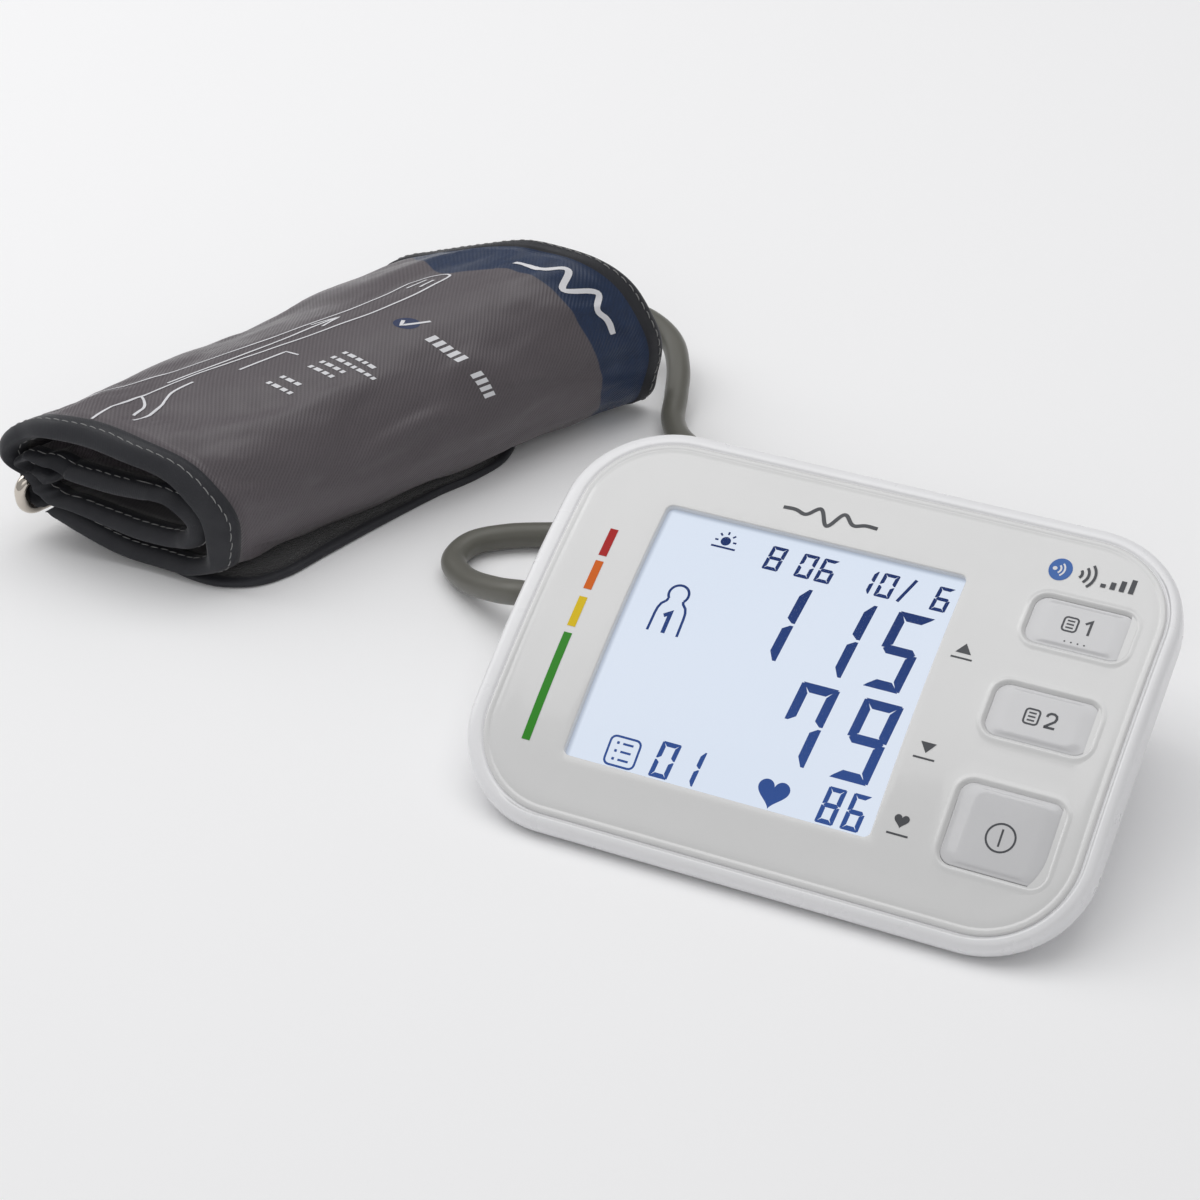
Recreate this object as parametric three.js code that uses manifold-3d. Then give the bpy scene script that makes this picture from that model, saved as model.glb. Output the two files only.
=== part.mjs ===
// Upper arm blood pressure monitor: a wedge-shaped tabletop console, a rolled arm cuff
// and the air hose between them.
// Millimetres, +Z up. Lengths below are written in the console's layout frame: X along the
// console's width, Y from the user to the rear, and Z = 0 on the table under the face centre.
// The whole layout is moved at the end, so that the origin is at the bottom centre.
import * as THREE from 'three';
import { mergeVertices } from 'three/addons/utils/BufferGeometryUtils.js';
import Module from 'manifold-3d';

const wasm = await Module();
wasm.setup();

// ---------------------------------------------------------------- driving dimensions
const GAP = 0.3; // clearance between neighbouring pieces
const TILT = THREE.MathUtils.degToRad(24.4); // slope of the face from the table
const FACE_CENTRE_Z = 28.25; // height of the middle of the face
const FACE_WIDTH = 139;
const FACE_LENGTH = 99.1; // measured up the slope
const FACE_CORNER = 23;
const CROWN = 0.9; // height of the face's crest over its reference plane
const CROWN_RADIUS = 250; // the face bulges about an axis along X
const RIM_DEPTH = 8; // parting plane below the face's reference plane
const RIM_WIDTH = 3.1; // white rim around the face panel
const WALL = 2;

const PANEL_THICKNESS = 1.8;
const PANEL_CORNER = 20;
const WINDOW = { x: -11.15, y: -1.9, width: 68.9, height: 62.3, corner: 1.5 };
const WINDOW_THICKNESS = 1;
const GLASS_TOP = -2.8;
const GLASS_THICKNESS = 1.7;
const BACKLIGHT_THICKNESS = 3;
const FLOOR_THICKNESS = 1.8; // plate of the upper housing under the face panel
const BOARD_TOP = -9;
const BOARD_THICKNESS = 1.2;

const KEY_TRAVEL = 0.8;
const KEY_RECESS = 0.25;
const KEY_CORNER = 2.5;
const KEYS = [
  { name: 'key_memory_1', x: 49.7, y: 23.5, width: 21.5, height: 11.5 },
  { name: 'key_memory_2', x: 49, y: 1, width: 22, height: 12 },
  { name: 'key_start_stop', x: 49, y: -25, width: 22, height: 18 },
];

const BASE = { width: 122.5, front: -38.3, rear: 40.3, corner: 11, bottom: 1, plate: 2 };
const FOOT = { radius: 4, height: 0.7 };
const BOSSES = [
  { x: -57, y: 32.8 },
  { x: 52, y: 33.2 },
  { x: -58, y: -16.6 },
  { x: 50.3, y: -7.6 },
];
const BOSS_RADIUS = 3.1;
const SCREW_RADIUS = 1.25;

const CELL = { radius: 5.25, length: 44.5, count: 4, pitch: 10.8 };
const BAY = { left: -47.8, right: 3.8, front: -7, rear: 35, wall: 1.3, height: 9.8 };

const PUMP = { y: 25, z: 13.6, motorRadius: 9.5, start: 8, motorEnd: 27 };
const SOCKET = { x: -61.25, y: 19, z: 11, bore: 3.1, depth: 8.5 };

const HOSE_DIAMETER = 6;
const HOSE_SIDES = 8;
const HOSE_STEPS = 76;

// The cuff lies rolled and pressed flat; its near end faces the user. Each end is an outline
// of [x, z] points, counter-clockwise from the bottom left, with a notch for the bar ring.
const CUFF = {
  nearY: 7,
  farY: 112,
  lift: 1.7,
  turns: 2.74,
  pitch: 5.6,
  depth: 17.6, // from the outside of the roll to its middle
  near: {
    outline: [
      [-197, 1.7], [-178, 1.7], [-160, 1.7], [-151.8, 5.4], [-149.2, 14], [-152.2, 24],
      [-160.5, 31.6], [-173, 36], [-188, 37], [-200.5, 35], [-208, 29.6], [-210, 22.6],
      [-205.2, 17.4], [-203.4, 11], [-203, 5],
    ],
    spine: [[-190, 19], [-168, 19]],
  },
  far: {
    outline: [
      [-147, 1.7], [-120, 1.7], [-97, 1.7], [-87.6, 5.6], [-84.4, 14], [-84.8, 25],
      [-91, 35.4], [-102, 42.6], [-114, 44], [-128, 41], [-147, 34], [-158, 28],
      [-157.4, 19.4], [-154.6, 12], [-153, 5],
    ],
    spine: [[-139, 16.5], [-106, 22]],
  },
};
const CUFF_STATIONS = [0, 0.08, 0.36, 0.64, 0.92, 1]; // shares of the length, near to far
const WIND_START = 0.7; // part of each turn after which the sheet steps in by one pitch
const RING = { wire: 3.4, height: 12, low: 5, x: -206.7 };
const TAIL_THICKNESS = 2.4;

// ---------------------------------------------------------------- colours
const WHITE = { color: 0xf1f1f3, roughness: 0.4, metalness: 0 };
const PANEL_GREY = { color: 0xd6d6d4, roughness: 0.12, metalness: 0 };
const CLEAR = { color: 0xdfe8f2, roughness: 0.05, metalness: 0 };
const DISPLAY = { color: 0xdde8f8, roughness: 0.2, metalness: 0 };
const BOARD_GREEN = { color: 0x1f5a38, roughness: 0.5, metalness: 0 };
const BLACK = { color: 0x202024, roughness: 0.5, metalness: 0 };
const STEEL = { color: 0xb8babd, roughness: 0.3, metalness: 1 };
const BRASS = { color: 0xc9a254, roughness: 0.35, metalness: 1 };
const SILICONE = { color: 0xd0d0cc, roughness: 0.6, metalness: 0 };
const HOSE_GREY = { color: 0x5a5850, roughness: 0.45, metalness: 0 };
const NYLON = { color: 0x625c5e, roughness: 0.75, metalness: 0 };
const LINING = { color: 0x1b1b1d, roughness: 0.9, metalness: 0 };
const NICKEL = { color: 0xcfc9bd, roughness: 0.18, metalness: 1 };
const CELL_WRAP = { color: 0x3a6a54, roughness: 0.35, metalness: 0 };

// ---------------------------------------------------------------- geometry helpers
function toSolid(geometry) {
  const bare = geometry.clone();
  bare.deleteAttribute('normal');
  bare.deleteAttribute('uv');
  const merged = mergeVertices(bare, 1e-4);
  const vertProperties = new Float32Array(merged.attributes.position.array);
  const triVerts = new Uint32Array(merged.index.array);
  return new wasm.Manifold(new wasm.Mesh({ numProp: 3, vertProperties, triVerts }));
}

function toGeometry(solid) {
  const mesh = solid.getMesh();
  const geometry = new THREE.BufferGeometry();
  geometry.setAttribute('position', new THREE.BufferAttribute(new Float32Array(mesh.vertProperties), 3));
  geometry.setIndex(new THREE.BufferAttribute(new Uint32Array(mesh.triVerts), 1));
  geometry.computeVertexNormals();
  return geometry;
}

function roundedRect(width, height, radius, x = 0, y = 0) {
  const w = width / 2 - radius;
  const h = height / 2 - radius;
  const shape = new THREE.Shape();
  shape.moveTo(x + w + radius, y - h);
  shape.absarc(x + w, y + h, radius, 0, Math.PI / 2);
  shape.absarc(x - w, y + h, radius, Math.PI / 2, Math.PI);
  shape.absarc(x - w, y - h, radius, Math.PI, 1.5 * Math.PI);
  shape.absarc(x + w, y - h, radius, 1.5 * Math.PI, 2 * Math.PI);
  return shape;
}

// A plate of the given outline between two heights.
function plate(shape, low, high, curveSegments = 7) {
  const geometry = new THREE.ExtrudeGeometry(shape, {
    depth: high - low,
    bevelEnabled: false,
    curveSegments,
  });
  geometry.translate(0, 0, low);
  return geometry;
}

function box(x0, x1, y0, y1, z0, z1) {
  const geometry = new THREE.BoxGeometry(x1 - x0, y1 - y0, z1 - z0);
  geometry.translate((x0 + x1) / 2, (y0 + y1) / 2, (z0 + z1) / 2);
  return geometry;
}

// A cylinder along Z, standing on its low end.
function post(x, y, radius, low, high, sides = 16) {
  const geometry = new THREE.CylinderGeometry(radius, radius, high - low, sides);
  geometry.rotateX(Math.PI / 2);
  geometry.translate(x, y, (low + high) / 2);
  return geometry;
}

// A body of revolution about an X axis; the profile is a list of [along, radius].
function turned(profile, y, z, sides = 18) {
  const geometry = new THREE.LatheGeometry(profile.map(([along, radius]) => new THREE.Vector2(radius, along)), sides);
  geometry.rotateZ(-Math.PI / 2);
  geometry.translate(0, y, z);
  return geometry;
}

function rod(x0, x1, radius, y, z, sides = 18) {
  return turned([[x0, 0], [x0, radius], [x1, radius], [x1, 0]], y, z, sides);
}

function ringProfile(x0, x1, inner, outer) {
  return [[x0, inner], [x0, outer], [x1, outer], [x1, inner], [x0, inner]];
}

// A round section carried along a smooth curve.
function tubeAlong(curve, diameter, sides, steps) {
  const section = new THREE.Shape();
  for (let i = 0; i < sides; i += 1) {
    const angle = (2 * Math.PI * i) / sides;
    const point = [(Math.cos(angle) * diameter) / 2, (Math.sin(angle) * diameter) / 2];
    if (i === 0) section.moveTo(...point);
    else section.lineTo(...point);
  }
  return new THREE.ExtrudeGeometry(section, { steps, extrudePath: curve, bevelEnabled: false });
}

const curveThrough = (points) =>
  new THREE.CatmullRomCurve3(points.map((p) => new THREE.Vector3(...p)), false, 'centripetal');

// ---------------------------------------------------------------- face helpers
// Face coordinates: x to the right, y up the slope, z out of the face.
const faceZ = (y) => CROWN - CROWN_RADIUS + Math.sqrt(CROWN_RADIUS ** 2 - y ** 2);

// Everything between two surfaces parallel to the crowned face, given as offsets from it.
function crownedSlab(low, high) {
  const strips = 10;
  const reach = FACE_LENGTH / 2 + 4;
  const shape = new THREE.Shape();
  for (let i = 0; i <= strips; i += 1) {
    const y = -reach + (2 * reach * i) / strips;
    const z = faceZ(y) + low;
    if (i === 0) shape.moveTo(y, z);
    else shape.lineTo(y, z);
  }
  for (let i = strips; i >= 0; i -= 1) {
    const y = -reach + (2 * reach * i) / strips;
    shape.lineTo(y, faceZ(y) + high);
  }
  const geometry = new THREE.ExtrudeGeometry(shape, { depth: FACE_WIDTH + 10, bevelEnabled: false });
  geometry.translate(0, 0, -(FACE_WIDTH + 10) / 2);
  const toFace = new THREE.Matrix4().makeBasis(
    new THREE.Vector3(0, 1, 0),
    new THREE.Vector3(0, 0, 1),
    new THREE.Vector3(1, 0, 0),
  );
  geometry.applyMatrix4(toFace);
  return toSolid(geometry);
}

const faceMatrix = new THREE.Matrix4()
  .makeTranslation(0, 0, FACE_CENTRE_Z)
  .multiply(new THREE.Matrix4().makeRotationX(TILT));
const layoutToFace = faceMatrix.clone().invert();

// A geometry written in layout coordinates, turned into face coordinates.
const inFace = (geometry) => geometry.applyMatrix4(layoutToFace);

// Local frame of a key: on the face at its own y, leaning with the crown.
function keyFrame(key) {
  return new THREE.Matrix4()
    .makeTranslation(key.x, key.y, faceZ(key.y))
    .multiply(new THREE.Matrix4().makeRotationX(-Math.asin(key.y / CROWN_RADIUS)));
}

function keyPlate(key, grow, low, high) {
  const shape = roundedRect(key.width + 2 * grow, key.height + 2 * grow, KEY_CORNER + Math.max(grow, 0));
  return plate(shape, low, high, 3).applyMatrix4(keyFrame(key));
}

// ---------------------------------------------------------------- scene groups
const layout = new THREE.Group();
const head = new THREE.Group();
head.rotation.x = TILT;
head.position.z = FACE_CENTRE_Z;
layout.add(head);

function addPiece(group, name, geometry, look) {
  const mesh = new THREE.Mesh(geometry, new THREE.MeshStandardMaterial(look));
  mesh.name = name;
  group.add(mesh);
  return mesh;
}

// ---------------------------------------------------------------- housing: upper half
function upperHousing() {
  const outline = toSolid(plate(roundedRect(FACE_WIDTH, FACE_LENGTH, FACE_CORNER), -RIM_DEPTH, 4, 6));
  let housing = outline.intersect(crownedSlab(-30, 0));
  const seatOutline = roundedRect(
    FACE_WIDTH - 2 * RIM_WIDTH + 2 * GAP,
    FACE_LENGTH - 2 * RIM_WIDTH + 2 * GAP,
    PANEL_CORNER + GAP,
  );
  const seat = toSolid(plate(seatOutline, -20, 10, 6));
  const floorTop = -PANEL_THICKNESS - GAP;
  const floorBottom = floorTop - FLOOR_THICKNESS;
  housing = housing.subtract(seat.intersect(crownedSlab(floorTop, 10)));
  const insideOutline = roundedRect(FACE_WIDTH - 2 * WALL, FACE_LENGTH - 2 * WALL, FACE_CORNER - WALL);
  const inside = toSolid(plate(insideOutline, -20, 10, 5));
  housing = housing.subtract(inside.intersect(crownedSlab(-40, floorBottom)));
  const displayHole = roundedRect(WINDOW.width + 3.4, WINDOW.height + 3.4, 2, WINDOW.x, WINDOW.y);
  housing = housing.subtract(toSolid(plate(displayHole, -20, 10, 2)));
  for (const key of KEYS) {
    housing = housing.subtract(toSolid(keyPlate(key, 0.6, -12, 6)));
  }
  for (const boss of BOSSES) {
    const room = inside.intersect(crownedSlab(-40, floorTop - 0.5));
    const pillar = toSolid(inFace(post(boss.x, boss.y, BOSS_RADIUS, 0, 60)));
    const parting = toSolid(box(-80, 80, -60, 60, -RIM_DEPTH, 20));
    housing = housing.add(pillar.intersect(room).intersect(parting));
  }
  for (const boss of BOSSES) {
    const top = toSolid(plate(roundedRect(140, 100, 5), -30, -4.6, 2));
    const hole = toSolid(inFace(post(boss.x, boss.y, SCREW_RADIUS + GAP, -10, 60, 14)));
    housing = housing.subtract(hole.intersect(top));
  }
  addPiece(head, 'upper_housing', toGeometry(housing), WHITE);
}

function facePanel() {
  const outline = roundedRect(FACE_WIDTH - 2 * RIM_WIDTH, FACE_LENGTH - 2 * RIM_WIDTH, PANEL_CORNER);
  let panel = toSolid(plate(outline, -20, 10, 6)).intersect(crownedSlab(-PANEL_THICKNESS, 0));
  const opening = roundedRect(
    WINDOW.width + 2 * GAP,
    WINDOW.height + 2 * GAP,
    WINDOW.corner + GAP,
    WINDOW.x,
    WINDOW.y,
  );
  panel = panel.subtract(toSolid(plate(opening, -20, 10, 3)));
  for (const key of KEYS) {
    panel = panel.subtract(toSolid(keyPlate(key, GAP, -12, 6)));
  }
  addPiece(head, 'face_panel', toGeometry(panel), PANEL_GREY);

  const pane = roundedRect(WINDOW.width, WINDOW.height, WINDOW.corner, WINDOW.x, WINDOW.y);
  const window = toSolid(plate(pane, -20, 10, 3)).intersect(crownedSlab(-0.15 - WINDOW_THICKNESS, -0.15));
  addPiece(head, 'display_window', toGeometry(window), CLEAR);
}

// ---------------------------------------------------------------- display and electronics
function displayStack() {
  const glass = roundedRect(WINDOW.width, WINDOW.height, WINDOW.corner, WINDOW.x, WINDOW.y);
  const glassBottom = GLASS_TOP - GLASS_THICKNESS;
  addPiece(head, 'lcd_glass', plate(glass, glassBottom, GLASS_TOP, 2), DISPLAY);

  const lowEdge = WINDOW.y - WINDOW.height / 2;
  const highEdge = WINDOW.y + WINDOW.height / 2;
  const leftEdge = WINDOW.x - WINDOW.width / 2;
  const rightEdge = WINDOW.x + WINDOW.width / 2;
  const lightTop = glassBottom - GAP;
  const lightBottom = lightTop - BACKLIGHT_THICKNESS;
  const guide = box(leftEdge - 0.5, rightEdge + 0.5, lowEdge + 4, highEdge + 0.5, lightBottom, lightTop);
  addPiece(head, 'backlight_guide', guide, { color: 0xf4f7ff, roughness: 0.3, metalness: 0 });

  const strip = box(leftEdge + 6, rightEdge - 6, lowEdge + 0.6, lowEdge + 3, BOARD_TOP + GAP, lightTop);
  addPiece(head, 'display_contact_strip', strip, { color: 0xc8788a, roughness: 0.7, metalness: 0 });

  const frameOuter = roundedRect(WINDOW.width + 8, WINDOW.height + 8, 2.5, WINDOW.x, WINDOW.y);
  const frameInner = roundedRect(WINDOW.width + 2.4, WINDOW.height + 2.4, 0.8, WINDOW.x, WINDOW.y);
  const frameTop = -6.1;
  const frame = toSolid(plate(frameOuter, BOARD_TOP + GAP, frameTop, 2)).subtract(
    toSolid(plate(frameInner, -12, -3, 1)),
  );
  addPiece(head, 'display_frame', toGeometry(frame), WHITE);
}

function electronics() {
  const boardBottom = BOARD_TOP - BOARD_THICKNESS;
  const shape = new THREE.Shape();
  shape.moveTo(-52, -36);
  shape.lineTo(53, -36);
  shape.lineTo(58.6, -31);
  shape.lineTo(58.6, 26);
  shape.lineTo(8, 26);
  shape.lineTo(8, -11);
  shape.lineTo(-52, -11);
  let board = toSolid(plate(shape, boardBottom, BOARD_TOP, 1));
  for (const boss of BOSSES) {
    board = board.subtract(toSolid(inFace(post(boss.x, boss.y, BOSS_RADIUS + 0.6, -10, 60, 16))));
  }
  addPiece(head, 'main_board', toGeometry(board), BOARD_GREEN);

  for (const key of KEYS) {
    const half = 3;
    const body = box(key.x - half, key.x + half, key.y - half, key.y + half, BOARD_TOP + GAP, -7.4);
    addPiece(head, key.name.replace('key', 'switch'), body, STEEL);
  }
  const under = boardBottom - GAP;
  addPiece(head, 'controller_chip', box(-27, -15, -31, -19, under - 1.1, under), BLACK);
  addPiece(head, 'wireless_module', box(22, 34, -29, -17, under - 1.8, under), STEEL);
  addPiece(head, 'pressure_sensor', box(27, 34, -9, -2, under - 3, under), BLACK);
}

function keys() {
  for (const key of KEYS) {
    const cap = toSolid(keyPlate(key, 0, -4.9, -KEY_RECESS));
    const flange = toSolid(keyPlate(key, 1.1, -5.1, -4.3));
    const stem = toSolid(post(0, 0, 1.5, -5.7, -5, 12).applyMatrix4(keyFrame(key)));
    addPiece(head, key.name, toGeometry(cap.add(flange).add(stem)), PANEL_GREY);
  }
}

// ---------------------------------------------------------------- housing: lower half
function baseOutline(inset) {
  const length = BASE.rear - BASE.front;
  const middle = (BASE.rear + BASE.front) / 2;
  return roundedRect(BASE.width - 2 * inset, length - 2 * inset, BASE.corner - inset, 0, middle);
}

function lowerHousing() {
  const inner = BASE.bottom + BASE.plate;
  const top = toSolid(box(-90, 90, -90, 90, -90, -RIM_DEPTH - GAP).applyMatrix4(faceMatrix));
  let tub = toSolid(plate(baseOutline(0), BASE.bottom, 60, 6));
  tub = tub.subtract(toSolid(plate(baseOutline(WALL), inner, 70, 6)));
  const bayTop = inner + BAY.height;
  const rails = toSolid(
    box(BAY.left - BAY.wall, BAY.right + BAY.wall, BAY.front - BAY.wall, BASE.rear - 1, inner - 1, bayTop),
  ).subtract(toSolid(box(BAY.left, BAY.right, BAY.front, BASE.rear - WALL, inner, bayTop + 5)));
  tub = tub.add(rails);
  for (const boss of BOSSES) {
    tub = tub.add(toSolid(post(boss.x, boss.y, BOSS_RADIUS, inner - 1, 60)));
  }
  tub = tub.intersect(top);
  for (const boss of BOSSES) {
    tub = tub.subtract(toSolid(post(boss.x, boss.y, SCREW_RADIUS + GAP, 0, 60, 14)));
    tub = tub.subtract(toSolid(post(boss.x, boss.y, 2.8, 0, BASE.bottom + 1.5, 16)));
  }
  tub = tub.subtract(toSolid(box(BAY.left, BAY.right, BAY.front, BAY.rear, 0, inner + 0.1)));
  tub = tub.subtract(toSolid(rod(SOCKET.x - 5, SOCKET.x + 5, 4.8, SOCKET.y, SOCKET.z)));
  addPiece(layout, 'lower_housing', toGeometry(tub), WHITE);

  BOSSES.forEach((boss, index) => {
    const atParting = new THREE.Vector3(boss.x, boss.y, 0).applyMatrix4(layoutToFace);
    const partingZ = (-RIM_DEPTH - atParting.z) / Math.cos(TILT);
    const tip = partingZ + 1.5;
    const shank = toSolid(post(boss.x, boss.y, SCREW_RADIUS, BASE.bottom + 1.2, tip, 12));
    const cap = toSolid(post(boss.x, boss.y, 2.4, BASE.bottom + 0.2, BASE.bottom + 1.4, 16));
    addPiece(layout, `housing_screw_${index + 1}`, toGeometry(shank.add(cap)), STEEL);
  });

  const feet = [[-52, -24], [52, -24], [-52, 20], [56, 20]];
  feet.forEach(([x, y], index) => {
    addPiece(layout, `rubber_foot_${index + 1}`, post(x, y, FOOT.radius, 0, FOOT.height, 24), SILICONE);
  });
}

function batteryDoor() {
  const low = BASE.bottom;
  const high = BASE.bottom + BASE.plate;
  const door = toSolid(
    box(BAY.left + GAP, BAY.right - GAP, BAY.front + GAP, BAY.rear - GAP, low, high),
  ).subtract(toSolid(post((BAY.left + BAY.right) / 2, BAY.front + 6, 5, low - 1, low + 0.8, 24)));
  addPiece(layout, 'battery_door', toGeometry(door), WHITE);
}

function batteries() {
  const centreZ = BASE.bottom + BASE.plate + GAP + CELL.radius;
  const firstY = 0.4;
  const start = BAY.left + 1.2;
  for (let i = 0; i < CELL.count; i += 1) {
    const y = firstY + i * CELL.pitch;
    const end = start + CELL.length;
    const profile = [
      [start, 0],
      [start, CELL.radius],
      [end - 1, CELL.radius],
      [end - 1, 2.6],
      [end, 2.6],
      [end, 0],
    ];
    addPiece(layout, `battery_cell_${i + 1}`, turned(profile, y, centreZ, 16), CELL_WRAP);
  }
  const contactLow = centreZ - 4;
  const contactHigh = centreZ + 4;
  const left = box(BAY.left + GAP, BAY.left + 0.8, -3, 36.5, contactLow, contactHigh);
  addPiece(layout, 'battery_contact_strip', left, STEEL);

  let springs = toSolid(box(BAY.right - 0.7, BAY.right - GAP, -3, 36.5, contactLow, contactHigh));
  for (let i = 0; i < CELL.count; i += 1) {
    const coil = turned(
      [[start + CELL.length + GAP, 0], [start + CELL.length + GAP, 1.6], [BAY.right - 0.5, 3.6], [BAY.right - 0.5, 0]],
      firstY + i * CELL.pitch,
      centreZ,
      14,
    );
    springs = springs.add(toSolid(coil));
  }
  addPiece(layout, 'battery_spring_strip', toGeometry(springs), STEEL);
}

// ---------------------------------------------------------------- pump, valve and air path
function pump() {
  const { y, z, start, motorEnd, motorRadius } = PUMP;
  const half = 10;
  const can = toSolid(rod(start, motorEnd, motorRadius, y, z, 28)).subtract(
    toSolid(rod(motorEnd - 6.5, motorEnd + 1, 1.5, y, z, 12)),
  );
  addPiece(layout, 'pump_motor', toGeometry(can), STEEL);

  const headStart = motorEnd + GAP;
  const cavity = headStart + 1.2;
  const headEnd = headStart + 12.7;
  const pumpHead = toSolid(box(headStart, headEnd, y - half, y + half, z - half, z + half))
    .subtract(toSolid(rod(cavity, headEnd + 1, 8, y, z, 28)))
    .subtract(toSolid(rod(headStart - 1, cavity + 1, 1.5, y, z, 12)));
  addPiece(layout, 'pump_head', toGeometry(pumpHead), BLACK);

  const crankPin = toSolid(rod(cavity + 2, cavity + 5.4, 1.2, y, z - 3, 12));
  const crank = toSolid(rod(motorEnd - 6, cavity + 1, 1.1, y, z, 12))
    .add(toSolid(rod(cavity + 0.5, cavity + 2.5, 6, y, z, 24)))
    .add(crankPin);
  addPiece(layout, 'pump_crank', toGeometry(crank), BRASS);

  const coverStart = headEnd + GAP + 2;
  const diaphragm = toSolid(box(headEnd + GAP, coverStart, y - half, y + half, z - half, z + half)).add(
    toSolid(rod(headEnd - 4.2, headEnd + 1, 5, y, z, 20)),
  );
  addPiece(layout, 'pump_diaphragm', toGeometry(diaphragm), SILICONE);

  const coverEnd = coverStart + GAP + 2.4;
  const cover = toSolid(
    box(coverStart + GAP, coverEnd, y - half, y + half, z - half, z + half),
  ).add(toSolid(rod(coverEnd - 1, coverEnd + 1.8, 1.6, y, z, 12)));
  addPiece(layout, 'pump_cover', toGeometry(cover), BLACK);

  const floor = BASE.bottom + BASE.plate + GAP;
  const cradle = toSolid(box(start + 3, motorEnd - 3, y - 8, y + 8, floor, z - 4)).subtract(
    toSolid(rod(start, motorEnd, motorRadius + GAP, y, z, 28)),
  );
  addPiece(layout, 'pump_cradle', toGeometry(cradle), SILICONE);
}

function airPath() {
  const { x, y, z, bore, depth } = SOCKET;
  const socket = toSolid(turned(ringProfile(x - 1.2, x + depth, bore, 4.5), y, z)).add(
    toSolid(turned(ringProfile(x + WALL + GAP, x + WALL + 1.8, bore + 0.5, 6.2), y, z)),
  );
  addPiece(layout, 'air_socket', toGeometry(socket), HOSE_GREY);

  const valve = toSolid(box(14, 30, -6, 3, 3.4, 11.6)).subtract(toSolid(rod(23, 31, 2, -1.5, 7.5, 14)));
  addPiece(layout, 'valve_body', toGeometry(valve), STEEL);
  const plunger = toSolid(rod(25, 32.5, 1.6, -1.5, 7.5, 14)).add(toSolid(rod(32, 33.6, 2.8, -1.5, 7.5, 14)));
  addPiece(layout, 'valve_plunger', toGeometry(plunger), BRASS);

  addPiece(layout, 'air_manifold', box(50.4, 58, 4, 12.6, 9, 16.6), BLACK);

  const line = (name, points, steps) =>
    addPiece(layout, name, tubeAlong(curveThrough(points), 3.2, 8, steps), SILICONE);
  line('air_line_socket', [
    [x + depth + GAP, y, z],
    [-51.2, 19, 12.4],
    [-50.6, 19, 15.2],
    [-48.4, 19, 17.6],
    [-43, 19, 18.2],
    [-30, 18, 18.2],
    [-4, 14.5, 18.2],
    [8, 10, 17.6],
    [26, 8.2, 16.6],
    [44, 8.2, 14.4],
    [50.1, 8.2, 14],
  ], 26);
  line('air_line_pump', [
    [PUMP.motorEnd + 20.2, PUMP.y, PUMP.z],
    [51, 24.6, 13.9],
    [54.2, 20.5, 13.4],
    [54.2, 12.9, 13],
  ], 10);
  line('air_line_valve', [
    [22, 3.5, 8],
    [22.1, 5.2, 8],
    [24, 6.8, 8],
    [30, 7, 8.2],
    [42, 7, 10],
    [50.1, 7, 10.8],
  ], 12);
}

// ---------------------------------------------------------------- air hose
// From the port on the cuff's far end, in a loose double turn behind the console, round to
// its left side and up into the plug.
const HOSE_ROUTE = [
  [-112.5, 118.8, 16], [-112.3, 124.2, 15.4], [-107.6, 129.8, 13.9], [-99.8, 131.4, 12],
  [-91, 127.4, 10], [-85.6, 119.6, 8], [-82.6, 111.4, 5.4], [-80, 103.6, 3.6],
  [-74, 96.6, 3.2], [-62, 92.4, 3.2], [10, 92, 3.2], [27.4, 88.8, 3.2],
  [38.4, 81, 3.2], [42, 71.6, 3.2], [38.4, 62.2, 3.2], [27.4, 54.4, 3.2],
  [10, 51.6, 3.2], [-38, 51.8, 3.2], [-52, 56.4, 3.2], [-59.4, 68, 3.2],
  [-54, 79, 3.2], [-40, 84, 3.2], [8, 84.2, 3.2], [20.6, 81.8, 3.2],
  [28.6, 75.6, 3.2], [29, 67.6, 3.2], [22, 61.6, 3.2], [8, 59.4, 3.2],
  [-32, 58.8, 4], [-46, 58.6, 7.8], [-58, 57.4, 9.7], [-71, 55, 6.2],
  [-84, 51.8, 3.4], [-97.4, 45.8, 3.2], [-103.8, 40, 3.2], [-104.6, 32.8, 3.2],
  [-98.6, 26.8, 4], [-87, 21.2, 8], [-79.4, 19, 10.8], [-75.95, 19, 11],
];

function hose() {
  const steps = HOSE_STEPS;
  addPiece(layout, 'air_hose', tubeAlong(curveThrough(HOSE_ROUTE), HOSE_DIAMETER, HOSE_SIDES, steps), HOSE_GREY);
  const { x, y, z, bore, depth } = SOCKET;
  const face = x - 1.2 - GAP;
  const plug = turned(
    [
      [x - 14.3, 0],
      [x - 14.3, 3.9],
      [x - 11, 4.6],
      [face, 4.6],
      [face, bore - 0.4],
      [x + depth - 2.2, bore - 0.4],
      [x + depth - 1.2, bore - 1],
      [x + depth - 1.2, 0],
    ],
    y,
    z,
  );
  addPiece(layout, 'hose_plug', plug, HOSE_GREY);
}

// ---------------------------------------------------------------- cuff
const mix = (a, b, t) => a + (b - a) * t;

const outlineCurve = ({ outline }) =>
  new THREE.CatmullRomCurve3(outline.map(([x, z]) => new THREE.Vector3(x, 0, z)), true, 'centripetal');
const nearCurve = outlineCurve(CUFF.near);
const farCurve = outlineCurve(CUFF.far);

// A point of one end's section: `turn` goes round the outline, `inset` goes in to the spine.
function sectionPoint(curve, spine, turn, inset) {
  const outer = curve.getPoint(turn % 1);
  outer.z = Math.max(outer.z, CUFF.lift);
  const [start, end] = spine;
  const along = THREE.MathUtils.clamp((outer.x - start[0]) / (end[0] - start[0]), 0, 1);
  const share = inset / CUFF.depth;
  return [
    mix(outer.x, mix(start[0], end[0], along), share),
    mix(outer.z, mix(start[1], end[1], along), share),
  ];
}

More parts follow.
